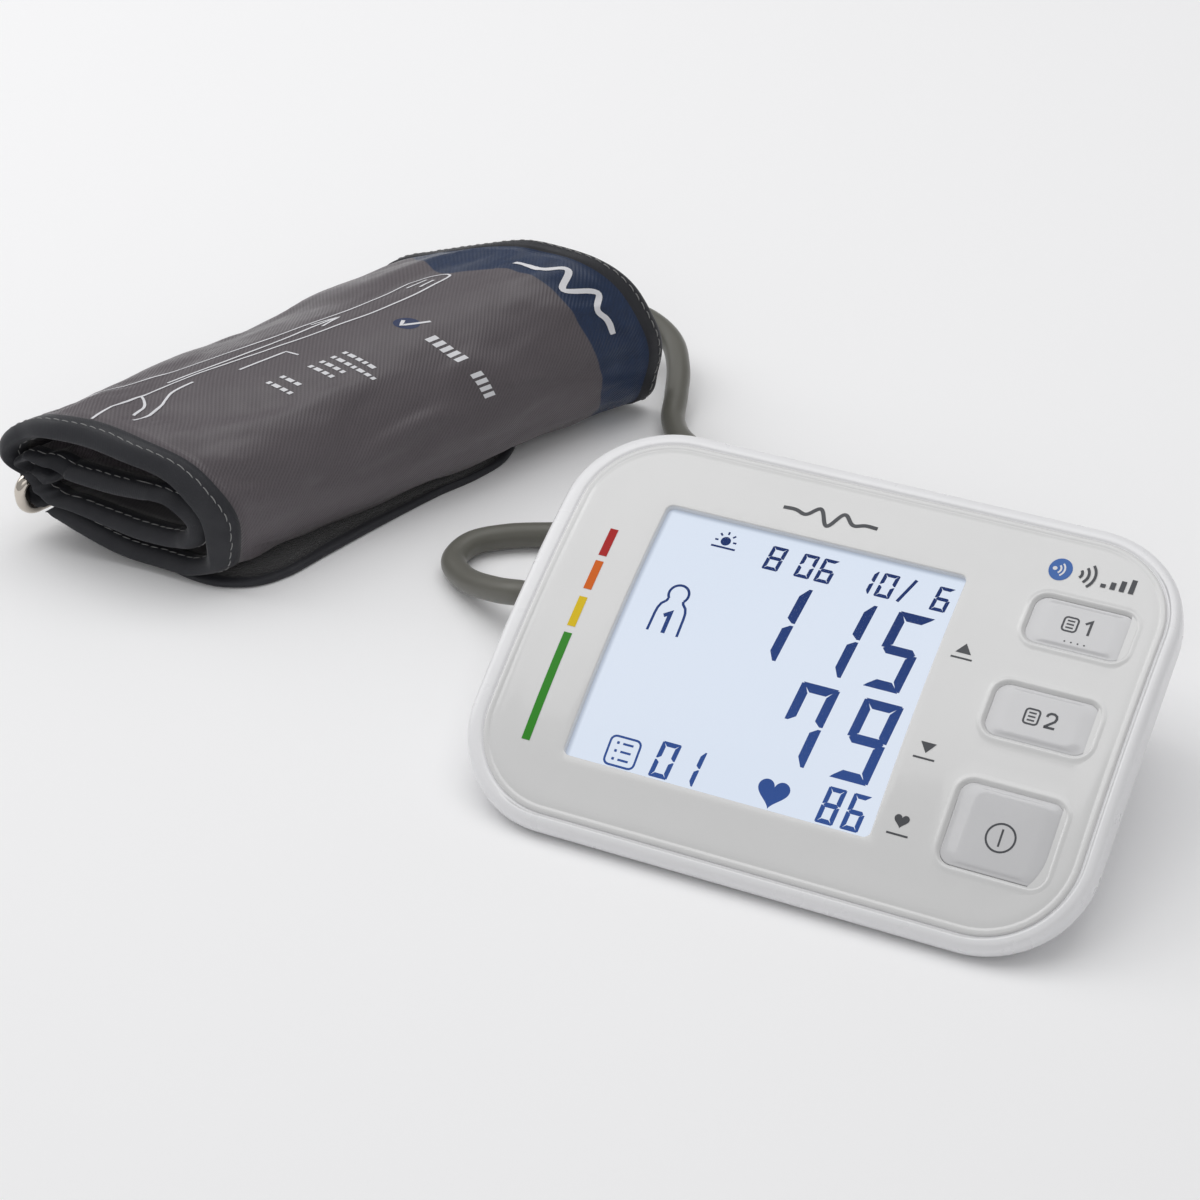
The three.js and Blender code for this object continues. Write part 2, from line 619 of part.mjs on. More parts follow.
// One spiral layer of the roll between two depths below its outside, for part of its length.
function rolledLayer(outerDepth, innerDepth, nearShare, farShare) {
  const perTurn = 30;
  const count = Math.round(CUFF.turns * perTurn);
  const section = (curve, spine) => {
    const outer = [];
    const inner = [];
    for (let i = 0; i <= count; i += 1) {
      const turn = i / perTurn;
      const step = THREE.MathUtils.smoothstep(turn % 1, WIND_START, 1);
      const wind = CUFF.pitch * (Math.floor(turn) + step);
      outer.push(sectionPoint(curve, spine, turn, wind + outerDepth));
      inner.push(sectionPoint(curve, spine, turn, wind + innerDepth));
    }
    return outer.concat(inner.reverse());
  };
  const near = section(nearCurve, CUFF.near.spine);
  const far = section(farCurve, CUFF.far.spine);
  const stations = CUFF_STATIONS.filter((share) => share >= nearShare && share <= farShare);
  const rings = stations.map((share) => {
    const y = mix(CUFF.nearY, CUFF.farY, share);
    return near.map(([x, z], i) => [mix(x, far[i][0], share), y, mix(z, far[i][1], share)]);
  });
  return loftedSheet(rings);
}

// A closed body through matching outlines, each of which lies in a plane of constant Y.
function loftedSheet(rings) {
  const count = rings[0].length;
  const last = count * (rings.length - 1);
  const contour = rings[0].map(([x, , z]) => new THREE.Vector2(x, z));
  const index = [];
  for (const [a, b, c] of THREE.ShapeUtils.triangulateShape(contour, [])) {
    index.push(a, b, c);
    index.push(a + last, c + last, b + last);
  }
  for (let start = 0; start < last; start += count) {
    for (let i = 0; i < count; i += 1) {
      const a = start + i;
      const b = start + ((i + 1) % count);
      index.push(a, count + a, count + b);
      index.push(a, count + b, b);
    }
  }
  const geometry = new THREE.BufferGeometry();
  geometry.setAttribute('position', new THREE.Float32BufferAttribute(rings.flat(2), 3));
  geometry.setIndex(index);
  return facingOut(geometry);
}

// Turns a closed body's faces the other way if they face inwards.
function facingOut(geometry) {
  const index = Array.from(geometry.index.array);
  if (signedVolume(geometry) < 0) {
    for (let i = 0; i < index.length; i += 3) [index[i + 1], index[i + 2]] = [index[i + 2], index[i + 1]];
    geometry.setIndex(index);
  }
  geometry.computeVertexNormals();
  return geometry;
}

function signedVolume(geometry) {
  const position = geometry.attributes.position;
  const corner = [new THREE.Vector3(), new THREE.Vector3(), new THREE.Vector3()];
  let volume = 0;
  for (let i = 0; i < geometry.index.count; i += 3) {
    corner.forEach((v, k) => v.fromBufferAttribute(position, geometry.index.getX(i + k)));
    volume += corner[0].dot(corner[1].clone().cross(corner[2])) / 6;
  }
  return volume;
}

function cuff() {
  addPiece(layout, 'cuff_cover', rolledLayer(0, 0.9, 0, 1), NYLON);
  addPiece(layout, 'cuff_bladder', rolledLayer(1.4, 3.6, 0.08, 0.92), SILICONE);
  addPiece(layout, 'cuff_lining', rolledLayer(4.1, 5, 0, 1), LINING);

  const flap = new THREE.Shape();
  flap.moveTo(-198, 8.5);
  flap.lineTo(-157, 6);
  flap.lineTo(-146, 8.5);
  flap.lineTo(-138, 18);
  flap.lineTo(-113, 61);
  flap.lineTo(-116, 76);
  flap.lineTo(-160, 88);
  addPiece(layout, 'cuff_hook_flap', plate(flap, 0, CUFF.lift - GAP, 1), LINING);

  // Metal bar ring in the notch along the left edge, standing on its long side.
  const side = new THREE.Vector2(-156.6 - RING.x, CUFF.farY - CUFF.nearY);
  const ringLength = side.length() + 6;
  const toRing = new THREE.Matrix4()
    .makeTranslation(
      RING.x + side.x / 2 - 0.4,
      (CUFF.nearY + CUFF.farY) / 2 - 0.4,
      RING.low + RING.height / 2,
    )
    .multiply(new THREE.Matrix4().makeRotationZ(side.angle()));
  const middleRect = roundedRect(ringLength - RING.wire, RING.height - RING.wire, 3.4);
  const ringPath = middleRect.getPoints(4).slice(0, -1).map((p) => new THREE.Vector3(p.x, 0, p.y));
  addPiece(layout, 'cuff_bar_ring', closedTube(ringPath, RING.wire / 2, 10).applyMatrix4(toRing), NICKEL);

  // The fold of the cuff's tail that fills the ring where it passes through.
  const tailLength = ringLength - 2 * RING.wire - 4;
  const tailHeight = RING.height - 2 * RING.wire - 2 * GAP;
  const tail = new THREE.BoxGeometry(tailLength, TAIL_THICKNESS, tailHeight);
  addPiece(layout, 'cuff_tail_fold', tail.applyMatrix4(toRing), NYLON);

  const portX = HOSE_ROUTE[0][0];
  const portZ = HOSE_ROUTE[0][2];
  const port = toSolid(post(0, 0, 3.9, 0, 6, 20)).add(toSolid(post(0, 0, 6, 0, 1.2, 24)));
  const portGeometry = toGeometry(port);
  portGeometry.rotateX(-Math.PI / 2);
  portGeometry.translate(portX, CUFF.farY + GAP, portZ);
  addPiece(layout, 'cuff_hose_port', portGeometry, HOSE_GREY);
}

// A round wire bent into a closed loop in the XZ plane, with a mitred section at each point.
function closedTube(points, radius, sides) {
  const corners = points.filter((p, i) => p.distanceTo(points[(i + 1) % points.length]) > 0.01);
  const steps = corners.length;
  const positions = [];
  const index = [];
  const across = new THREE.Vector3(0, 1, 0);
  for (let i = 0; i < steps; i += 1) {
    const before = corners[i].clone().sub(corners[(i + steps - 1) % steps]).normalize();
    const after = corners[(i + 1) % steps].clone().sub(corners[i]).normalize();
    const along = before.clone().add(after).normalize();
    const outward = along.clone().cross(across);
    const stretch = 1 / along.dot(after);
    for (let k = 0; k < sides; k += 1) {
      const angle = (2 * Math.PI * k) / sides;
      const p = corners[i].clone().addScaledVector(outward, radius * stretch * Math.cos(angle));
      p.addScaledVector(across, radius * Math.sin(angle));
      positions.push(p.x, p.y, p.z);
    }
  }
  for (let i = 0; i < steps; i += 1) {
    const next = (i + 1) % steps;
    for (let k = 0; k < sides; k += 1) {
      const k2 = (k + 1) % sides;
      index.push(i * sides + k, next * sides + k, next * sides + k2);
      index.push(i * sides + k, next * sides + k2, i * sides + k2);
    }
  }
  const geometry = new THREE.BufferGeometry();
  geometry.setAttribute('position', new THREE.Float32BufferAttribute(positions, 3));
  geometry.setIndex(index);
  return facingOut(geometry);
}

// ---------------------------------------------------------------- assembly
upperHousing();
facePanel();
displayStack();
electronics();
keys();
lowerHousing();
batteryDoor();
batteries();
pump();
airPath();
hose();
cuff();

// The origin is at the bottom centre of the console and cuff, without the hose and its plug.
const CORD_PIECES = ['air_hose', 'hose_plug', 'cuff_hose_port'];
const extent = new THREE.Box3();
layout.updateMatrixWorld(true);
layout.traverse((piece) => {
  if (piece.isMesh && !CORD_PIECES.includes(piece.name)) extent.expandByObject(piece, true);
});
const middle = extent.getCenter(new THREE.Vector3());
layout.position.set(-middle.x, -middle.y, -extent.min.z);

const monitor = new THREE.Group();
monitor.name = 'upper_arm_blood_pressure_monitor';
monitor.add(layout);

export default monitor;
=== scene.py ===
import math
import random

import bmesh
import bpy
from mathutils import Matrix, Vector, noise
from mathutils.bvhtree import BVHTree
from mathutils.geometry import delaunay_2d_cdt


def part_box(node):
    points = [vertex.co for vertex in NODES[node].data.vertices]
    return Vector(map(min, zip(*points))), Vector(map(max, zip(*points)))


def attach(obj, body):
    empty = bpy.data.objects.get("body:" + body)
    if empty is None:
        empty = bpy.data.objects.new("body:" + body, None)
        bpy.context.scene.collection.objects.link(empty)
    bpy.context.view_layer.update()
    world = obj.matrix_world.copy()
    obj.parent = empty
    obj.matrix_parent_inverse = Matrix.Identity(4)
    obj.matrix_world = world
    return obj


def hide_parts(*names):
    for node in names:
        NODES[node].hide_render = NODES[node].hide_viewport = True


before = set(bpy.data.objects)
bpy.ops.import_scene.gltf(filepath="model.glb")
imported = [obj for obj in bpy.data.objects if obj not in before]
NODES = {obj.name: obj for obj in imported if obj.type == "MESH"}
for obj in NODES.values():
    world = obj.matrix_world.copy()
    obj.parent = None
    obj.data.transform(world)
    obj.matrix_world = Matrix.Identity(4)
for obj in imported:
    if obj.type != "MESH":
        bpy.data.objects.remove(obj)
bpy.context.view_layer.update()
ROOT = "monitor"

# ---------------------------------------------------------------- places
# Layout frame, in millimetres: X along the console, Y to the rear, Z = 0 on the table.
DOOR_CORNER = Vector((-0.0475, -0.0067, 0.001))
ORIGIN = Vector(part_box("battery_door")[0]) - DOOR_CORNER
TILT = math.radians(24.4)
FACE_CENTRE_Z = 28.25
CROWN = 0.9
CROWN_RADIUS = 250.0


def lay(x, y, z=0.0):
    return ORIGIN + Vector((x, y, z)) * 0.001


# Face coordinates, in millimetres: x to the right, y up the slope, z out of the face.
def face(x, y, z=0.0):
    level = y * math.cos(TILT) - z * math.sin(TILT)
    height = y * math.sin(TILT) + z * math.cos(TILT) + FACE_CENTRE_Z
    return lay(x, level, height)


def crown(y):
    return CROWN - CROWN_RADIUS + math.sqrt(CROWN_RADIUS**2 - y * y)


def on_face(x, y, up=0.0):
    return face(x, y, crown(y) + up)


def mix(a, b, share):
    return a + (b - a) * share


def smooth(low, high, x):
    t = min(1.0, max(0.0, (x - low) / (high - low)))
    return t * t * (3 - 2 * t)


def through(points, closed=False, steps=16):
    """A smooth curve through the points, with `steps` points for each span."""
    pts = [Vector(p) for p in points]
    count = len(pts)
    if closed:
        pts = [pts[-1]] + pts + [pts[0], pts[1]]
    else:
        pts = [2 * pts[0] - pts[1]] + pts + [2 * pts[-1] - pts[-2]]
    spans = count if closed else count - 1
    line = []
    for i in range(spans):
        p0, p1, p2, p3 = pts[i : i + 4]
        d0 = max((p1 - p0).length ** 0.5, 1e-6)
        d1 = max((p2 - p1).length ** 0.5, 1e-6)
        d2 = max((p3 - p2).length ** 0.5, 1e-6)
        m1 = ((p1 - p0) / d0 - (p2 - p0) / (d0 + d1) + (p2 - p1) / d1) * d1
        m2 = ((p2 - p1) / d1 - (p3 - p1) / (d1 + d2) + (p3 - p2) / d2) * d1
        for k in range(steps):
            t = k / steps
            a = 2 * t**3 - 3 * t**2 + 1
            b = t**3 - 2 * t**2 + t
            c = -2 * t**3 + 3 * t**2
            d = t**3 - t**2
            line.append(p1 * a + m1 * b + p2 * c + m2 * d)
    if not closed:
        line.append(pts[-2].copy())
    return line


# ---------------------------------------------------------------- camera
SENSOR_WIDTH = 36
LENS = 90.98
CAMERA_PLACE = (183.97, -455.35, 432.03)
CAMERA_AHEAD = (-0.3598, 0.70051, -0.61631)
CAMERA_UP = (-0.23127, 0.57297, 0.78627)


def make_camera():
    data = bpy.data.cameras.new("camera")
    data.sensor_width = SENSOR_WIDTH
    data.lens = LENS
    camera = bpy.data.objects.new("camera", data)
    bpy.context.scene.collection.objects.link(camera)
    ahead = Vector(CAMERA_AHEAD).normalized()
    up = Vector(CAMERA_UP).normalized()
    right = ahead.cross(up).normalized()
    up = right.cross(ahead)
    turn = Matrix((right, up, -ahead)).transposed().to_4x4()
    camera.matrix_world = Matrix.Translation(lay(*CAMERA_PLACE)) @ turn
    bpy.context.scene.camera = camera


make_camera()


# ---------------------------------------------------------------- materials
def srgb(r, g, b):
    def channel(v):
        v /= 255
        return v / 12.92 if v <= 0.04045 else ((v + 0.055) / 1.055) ** 2.4

    return (channel(r), channel(g), channel(b), 1.0)


def scaled(colour, factor):
    return tuple(min(1.0, c * factor) for c in colour[:3]) + (1.0,)


class Look:
    """A node material: a Principled shader, and helpers that add nodes to it."""

    def __init__(self, name, colour, roughness, metallic=0.0, **sockets):
        self.material = bpy.data.materials.new(name)
        self.material.use_nodes = True
        self.tree = self.material.node_tree
        self.shader = self.tree.nodes["Principled BSDF"]
        self.set(self.shader, **{"Base Color": colour, "Roughness": roughness, "Metallic": metallic})
        self.set(self.shader, **sockets)
        self.colour = colour
        self.height = None

    def set(self, node, **sockets):
        for key, value in sockets.items():
            node.inputs[key.replace("_", " ")].default_value = value

    def add(self, kind, **sockets):
        node = self.tree.nodes.new("ShaderNode" + kind)
        self.set(node, **sockets)
        return node

    def link(self, source, target):
        self.tree.links.new(source, target)

    def math(self, operation, a, b=None):
        node = self.add("Math")
        node.operation = operation
        for socket, value in zip(node.inputs, (a, b)):
            if value is None:
                continue
            if isinstance(value, (int, float)):
                socket.default_value = value
            else:
                self.link(value, socket)
        return node.outputs[0]

    def place(self):
        return self.add("TexCoord").outputs["Object"]

    def noise(self, scale, detail=3.0, roughness=0.55):
        node = self.add("TexNoise", Scale=scale, Detail=detail, Roughness=roughness)
        self.link(self.place(), node.inputs["Vector"])
        return node.outputs["Fac"]

    def cloth_axes(self):
        """A piece's two UVs, in millimetres."""
        uv = self.add("UVMap")
        uv.uv_map = "cloth"
        split = self.add("SeparateXYZ")
        self.link(uv.outputs[0], split.inputs[0])
        return split.outputs[0], split.outputs[1]

    def ramp(self, source, low, high, start=0.0, end=1.0, kind="LINEAR"):
        """A value that runs from start to end as the source runs from low to high."""
        node = self.add("MapRange")
        node.interpolation_type = kind
        self.link(source, node.inputs[0])
        for index, value in enumerate((low, high, start, end), 1):
            node.inputs[index].default_value = value
        return node.outputs[0]

    def blend(self, share, a, b):
        """A colour mix of a and b, each a colour or an output."""
        node = self.add("Mix")
        node.data_type = "RGBA"
        self.link(share, node.inputs[0])
        for socket, value in zip((node.inputs[6], node.inputs[7]), (a, b)):
            if isinstance(value, tuple):
                socket.default_value = value
            else:
                self.link(value, socket)
        return node.outputs[2]

    def vary(self, amount, scale):
        """Colour that drifts a little from place to place."""
        dark, light = scaled(self.colour, 1 - amount), scaled(self.colour, 1 + amount)
        self.link(self.blend(self.noise(scale), dark, light), self.shader.inputs["Base Color"])

    def rough(self, low, high, scale):
        drift = self.ramp(self.noise(scale, 4.0), 0.3, 0.7, low, high)
        self.link(drift, self.shader.inputs["Roughness"])

    def bump(self, height, strength, distance):
        node = self.add("Bump", Strength=strength, Distance=distance)
        self.link(height, node.inputs["Height"])
        if self.height:
            self.link(self.height, node.inputs["Normal"])
        self.height = node.outputs["Normal"]
        self.link(self.height, self.shader.inputs["Normal"])


def moulded(name, colour, roughness, grain=0.00002, scale=9000, **sockets):
    """Moulded plastic or rubber: a fine grain, and a gloss that drifts a little."""
    look = Look(name, colour, roughness, **sockets)
    look.vary(0.03, 60)
    look.rough(roughness * 0.85, roughness * 1.15, 140)
    look.bump(look.noise(scale, 2.0), 0.25, grain)
    return look.material


def brushed(name, colour, roughness):
    look = Look(name, colour, roughness, metallic=1.0)
    look.vary(0.06, 500)
    look.rough(roughness * 0.7, roughness * 1.5, 900)
    look.bump(look.noise(4000, 3.0), 0.15, 0.00002)
    return look.material


WHITE = moulded("white_shell_plastic", srgb(236, 236, 238), 0.3, Coat_Weight=0.25, Coat_Roughness=0.15)
BASE_WHITE = moulded("white_base_plastic", srgb(228, 228, 230), 0.48, grain=0.00005, scale=3500)
PANEL = moulded("panel_gloss_plastic", srgb(218, 218, 218), 0.22, Coat_Weight=0.5, Coat_Roughness=0.08)
KEY = moulded("key_gloss_plastic", srgb(206, 206, 208), 0.2, Coat_Weight=0.6, Coat_Roughness=0.06)
PRINT = moulded("dark_print", srgb(66, 68, 73), 0.5)
BADGE = moulded("blue_print", srgb(28, 92, 170), 0.4)
RUBBER = moulded("foot_rubber", srgb(52, 52, 54), 0.8, grain=0.00006, scale=4000)
HOSE = moulded("hose_rubber", srgb(92, 91, 83), 0.42, grain=0.00003, scale=5000, Sheen_Weight=0.25)
NICKEL = brushed("nickel_plate", srgb(206, 198, 188), 0.08)
STEEL = brushed("zinc_steel", srgb(190, 190, 188), 0.3)
BRASS = brushed("brass_contact", srgb(206, 176, 110), 0.3)
BLACK = moulded("black_plastic", srgb(34, 34, 36), 0.5)
GREY = moulded("grey_plastic", srgb(120, 122, 124), 0.5)
SILICONE = moulded("clear_silicone", srgb(205, 204, 196), 0.35, Transmission_Weight=0.25)
CELL = moulded("cell_wrap", srgb(48, 62, 84), 0.3)
LIGHT_GUIDE = moulded("light_guide", srgb(235, 240, 248), 0.2, Transmission_Weight=0.3)
PINK_RUBBER = moulded("contact_rubber", srgb(190, 130, 140), 0.6)


def circuit_board():
    look = Look("circuit_board", srgb(28, 92, 54), 0.35)
    tracks = look.add("TexBrick", Scale=900.0, Mortar_Size=0.02)
    tracks.inputs["Color1"].default_value = srgb(26, 84, 50)
    tracks.inputs["Color2"].default_value = srgb(34, 104, 62)
    tracks.inputs["Mortar"].default_value = srgb(70, 140, 90)
    look.link(look.place(), tracks.inputs["Vector"])
    look.link(tracks.outputs["Color"], look.shader.inputs["Base Color"])
    return look.material


BOARD = circuit_board()


def woven(name, colour, roughness, rib=1.0, depth=0.00009, sheen=0.35, shade=0.28):
    """Twill nylon: slanting ribs crossed by a finer weft, drawn from its millimetre UVs."""
    look = Look(name, colour, roughness, Sheen_Weight=sheen, Sheen_Roughness=0.4)
    u, v = look.cloth_axes()
    lean = look.math("SUBTRACT", u, v)
    ribs = look.math("SINE", look.math("MULTIPLY", lean, 2 * math.pi / rib))
    weft = look.math("SINE", look.math("MULTIPLY", v, 2 * math.pi / (rib * 0.62)))
    weave = look.math("ADD", ribs, look.math("MULTIPLY", weft, 0.3))
    share = look.math("ADD", look.math("MULTIPLY", weave, 0.3), 0.5)
    cloth = look.blend(share, scaled(colour, 1 - shade), scaled(colour, 1 + shade))
    drift = look.math("MULTIPLY", look.noise(55, 4.0), 0.3)
    cloth = look.blend(drift, cloth, scaled(colour, 1.5))
    look.link(cloth, look.shader.inputs["Base Color"])
    look.rough(roughness * 0.85, roughness * 1.15, 200)
    look.bump(look.math("MULTIPLY", weave, 0.5), 0.6, depth)
    look.cloth = cloth
    return look


def cuff_material():
    look = woven("cuff_nylon", srgb(84, 78, 82), 0.42, sheen=0.2)
    band = look.add("Attribute")
    band.attribute_name = "navy"
    edge = look.ramp(band.outputs["Fac"], -0.15, 0.15)
    navy = look.blend(look.noise(500, 2.0), srgb(6, 30, 60), srgb(14, 43, 80))
    look.link(look.blend(edge, look.cloth, navy), look.shader.inputs["Base Color"])
    return look.material


CUFF_CLOTH = cuff_material()
LINING = woven("cuff_lining", srgb(62, 58, 62), 0.6).material
TAPE_COLOUR = srgb(30, 31, 37)
TAPE = woven("binding_tape", TAPE_COLOUR, 0.6, rib=0.45, depth=0.00004, sheen=0.15, shade=0.1).material
THREAD = moulded("pale_thread", srgb(138, 138, 138), 0.75, grain=0.00006, scale=6000)
CLOTH_PRINT = moulded("white_cloth_print", srgb(224, 224, 228), 0.55)
NAVY_PRINT = moulded("navy_cloth_print", srgb(28, 44, 84), 0.5)


def loop_pile():
    look = Look("hook_and_loop_pile", srgb(26, 25, 28), 0.9, Sheen_Weight=0.6, Sheen_Roughness=0.5)
    look.vary(0.25, 900)
    look.bump(look.noise(1600, 5.0, 0.7), 0.9, 0.0004)
    return look.material


PILE = loop_pile()


# ---------------------------------------------------------------- meshes
def new_piece(name, verts, faces, materials, body=ROOT, flat=False, replaces=(), slot=None):
    mesh = bpy.data.meshes.new(name)
    mesh.from_pydata([tuple(v) for v in verts], [], faces)
    mesh.validate()
    obj = bpy.data.objects.new(name, mesh)
    bpy.context.scene.collection.objects.link(obj)
    for material in materials if isinstance(materials, (list, tuple)) else [materials]:
        mesh.materials.append(material)
    if not flat:
        mesh.polygons.foreach_set("use_smooth", [True] * len(mesh.polygons))
    work = bmesh.new()
    work.from_mesh(mesh)
    bmesh.ops.recalc_face_normals(work, faces=work.faces)
    work.to_mesh(mesh)
    work.free()
    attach(obj, body)
    if replaces:
        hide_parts(*replaces)
    return obj


class Shape:
    """Vertices and faces gathered for one mesh."""

    def __init__(self):
        self.verts = []
        self.faces = []

    def ring(self, points):
        start = len(self.verts)
        self.verts.extend(points)
        return list(range(start, start + len(points)))

    def bridge(self, a, b, closed=True):
        count = len(a)
        for i in range(count if closed else count - 1):
            j = (i + 1) % count
            self.faces.append((a[i], a[j], b[j], b[i]))

    def rings(self, loops, closed=True):
        made = [self.ring(loop) for loop in loops]
        for a, b in zip(made, made[1:]):
            self.bridge(a, b, closed)
        return made

    def cap(self, ring):
        self.faces.append(tuple(ring))

    def tube(self, line, radius, sides=12, closed=False):
        """A round tube along a line of points, with its section carried along without twist."""
        count = len(line)
        tangents = []
        for i in range(count):
            before = line[(i - 1) % count] if closed or i else line[0]
            after = line[(i + 1) % count] if closed or i < count - 1 else line[-1]
            tangents.append((after - before).normalized())
        side = tangents[0].orthogonal().normalized()
        sections = []
        for i in range(count):
            side = (side - tangents[i] * side.dot(tangents[i])).normalized()
            other = tangents[i].cross(side)
            loop = []
            for k in range(sides):
                angle = 2 * math.pi * k / sides
                loop.append(line[i] + (side * math.cos(angle) + other * math.sin(angle)) * radius)
            sections.append(loop)
        made = self.rings(sections)
        if closed:
            first, last = made[0], made[-1]
            seam = self.verts[first[0]]
            shift = min(range(sides), key=lambda s: (self.verts[last[s]] - seam).length)
            self.bridge(last[shift:] + last[:shift], first)
        else:
            self.cap(made[0])
            self.cap(made[-1])

    def piece(self, name, materials, **options):
        return new_piece(name, self.verts, self.faces, materials, **options)


def round_rect(x0, x1, y0, y1, r, arc=10, side=14):
    """Points round a rectangle with rounded corners, the same number whatever its size."""
    corners = ((x1 - r, y1 - r, 0), (x0 + r, y1 - r, 90), (x0 + r, y0 + r, 180), (x1 - r, y0 + r, 270))
    arcs = []
    for cx, cy, start in corners:
        angles = [math.radians(start + 90 * k / arc) for k in range(arc + 1)]
        arcs.append([(cx + r * math.cos(a), cy + r * math.sin(a)) for a in angles])
    points = []
    for here, after in zip(arcs, arcs[1:] + arcs[:1]):
        points.extend(here)
        (ax, ay), (bx, by) = here[-1], after[0]
        points.extend((mix(ax, bx, k / side), mix(ay, by, k / side)) for k in range(1, side))
    return points


def grown(box, grow):
    """A rectangle's sides, each moved out by `grow`."""
    x0, x1, y0, y1 = box
    return x0 - grow, x1 + grow, y0 - grow, y1 + grow


def lathe(profile, axis_point, axis, sides=40):
    """A turned body: profile holds (distance along the axis, radius) in millimetres."""
    axis = Vector(axis).normalized()
    u = axis.orthogonal().normalized()
    v = axis.cross(u)
    shape = Shape()
    loops = []
    for along, radius in profile:
        centre = axis_point + axis * along * 0.001
        radius = max(radius, 0.01) * 0.001
        angles = [2 * math.pi * k / sides for k in range(sides)]
        loops.append([centre + (u * math.cos(a) + v * math.sin(a)) * radius for a in angles])
    made = shape.rings(loops)
    shape.cap(made[0])
    shape.cap(made[-1])
    return shape


# ---------------------------------------------------------------- air hose
HOSE_ROUTE = (
    (-112.5, 118.8, 16), (-112.3, 124.2, 15.4), (-107.6, 129.8, 13.9), (-99.8, 131.4, 12),
    (-91, 127.4, 10), (-85.6, 119.6, 8), (-82.6, 111.4, 5.4), (-80, 103.6, 3.6),
    (-74, 96.6, 3.2), (-62, 92.4, 3.2), (10, 92, 3.2), (27.4, 88.8, 3.2),
    (38.4, 81, 3.2), (42, 71.6, 3.2), (38.4, 62.2, 3.2), (27.4, 54.4, 3.2),
    (10, 51.6, 3.2), (-38, 51.8, 3.2), (-52, 56.4, 3.2), (-59.4, 68, 3.2),
    (-54, 79, 3.2), (-40, 84, 3.2), (8, 84.2, 3.2), (20.6, 81.8, 3.2),
    (28.6, 75.6, 3.2), (29, 67.6, 3.2), (22, 61.6, 3.2), (8, 59.4, 3.2),
    (-32, 58.8, 4), (-46, 58.6, 7.8), (-58, 57.4, 9.7), (-71, 55, 6.2),
    (-84, 51.8, 3.4), (-97.4, 45.8, 3.2), (-103.8, 40, 3.2), (-104.6, 32.8, 3.2),
    (-98.6, 26.8, 4), (-87, 21.2, 8), (-79.4, 19, 10.8), (-75.95, 19, 11),
)
HOSE_DIAMETER = 0.006


def air_hose():
    line = [lay(*p) for p in through(HOSE_ROUTE, steps=12)]
    shape = Shape()
    shape.tube(line, HOSE_DIAMETER / 2, sides=20)
    hose = shape.piece("air_hose_visual", HOSE, replaces=["air_hose"], slot="hose_rubber")

    plug_start = lay(-75.55, 19, 11)
    plug = lathe(
        (
            (-1.6, 2.9), (-1.6, 3.4), (-1.2, 3.75), (0, 3.9), (2.2, 4.25), (3.3, 4.55), (3.8, 4.65),
            (4.2, 4.4), (5.0, 4.4), (5.4, 4.7), (5.9, 4.7), (6.3, 4.4), (7.1, 4.4), (7.5, 4.7),
            (8.0, 4.7), (8.4, 4.4), (9.2, 4.4), (9.6, 4.7), (12.3, 4.7), (12.8, 4.5), (12.8, 2.6),
            (20, 2.6), (21, 2.1),
        ),
        plug_start,
        (1, 0, 0),
    ).piece("hose_plug_visual", HOSE, replaces=["hose_plug"], slot="hose_rubber")

    port = lathe(
        (
            (-0.6, 6.4), (0, 6.4), (0.7, 6.2), (1.2, 5.6), (1.5, 4.6), (2.0, 4.1), (3.4, 3.95),
            (5.2, 3.9), (6.0, 3.75), (6.3, 3.4), (6.3, 3.0),
        ),
        lay(-112.5, 112.3, 16),
        (0, 1, 0),
    ).piece("cuff_hose_port_visual", HOSE, replaces=["cuff_hose_port"], slot="hose_rubber")


air_hose()

# ---------------------------------------------------------------- console shell
WINDOW = (-45.6, 23.3, -33.2, 29.3)
WINDOW_CORNER = 1.5
PANEL_EDGE = (-65.4, 66.4, -46.6, 46.0)
PANEL_CORNER = 19.5
OUTLINE_HALF = (69.5, 49.55)
OUTLINE_CORNER = 23
ROUND_SHELL = {"arc": 16, "side": 24}
KEY_CORNER = 2.9
ROUND_KEY = {"arc": 8, "side": 10}
FILL_SPACING = 2.2
KEYS = {
    "key_memory_1": (49.7, 23.5, 21.5, 11.5),
    "key_memory_2": (49.0, 1.0, 22.0, 12.0),
    "key_start_stop": (49.0, -25.0, 22.0, 18.0),
}


def face_loop(box, r, up, **counts):
    return [on_face(x, y, up) for x, y in round_rect(*box, r, **counts)]


def outline_loop(inset, up, level=None):
    """The console's outline, `up` from the crowned face or at one level of the flat one."""
    w, h = (half - inset for half in OUTLINE_HALF)
    points = round_rect(-w, w, -h, h, max(OUTLINE_CORNER - inset, 3), **ROUND_SHELL)
    if level is None:
        return [on_face(x, y, up) for x, y in points]
    return [face(x, y, level) for x, y in points]


def upper_housing():
    shape = Shape()
    skirt = ((11.0, -7.95), (1.4, -7.95), (0.7, -7.9), (0.25, -7.7), (0.03, -7.3), (0.0, -6.9))
    rim = (
        (0.0, -2.3), (0.06, -1.6), (0.28, -0.95), (0.7, -0.45), (1.25, -0.15), (1.9, -0.03), (2.5, 0.0),
    )
    loops = [outline_loop(inset, 0.0, level) for inset, level in skirt]
    loops += [outline_loop(inset, up) for inset, up in rim]
    for grow, up in ((0.75, -0.03), (0.45, -0.12), (0.25, -0.3), (0.12, -0.42), (0.0, -0.46)):
        loops.append(face_loop(grown(PANEL_EDGE, grow), PANEL_CORNER + grow, up, **ROUND_SHELL))
    shape.rings(loops)
    shape.piece("upper_housing_visual", WHITE, replaces=["upper_housing"], slot="white_shell")


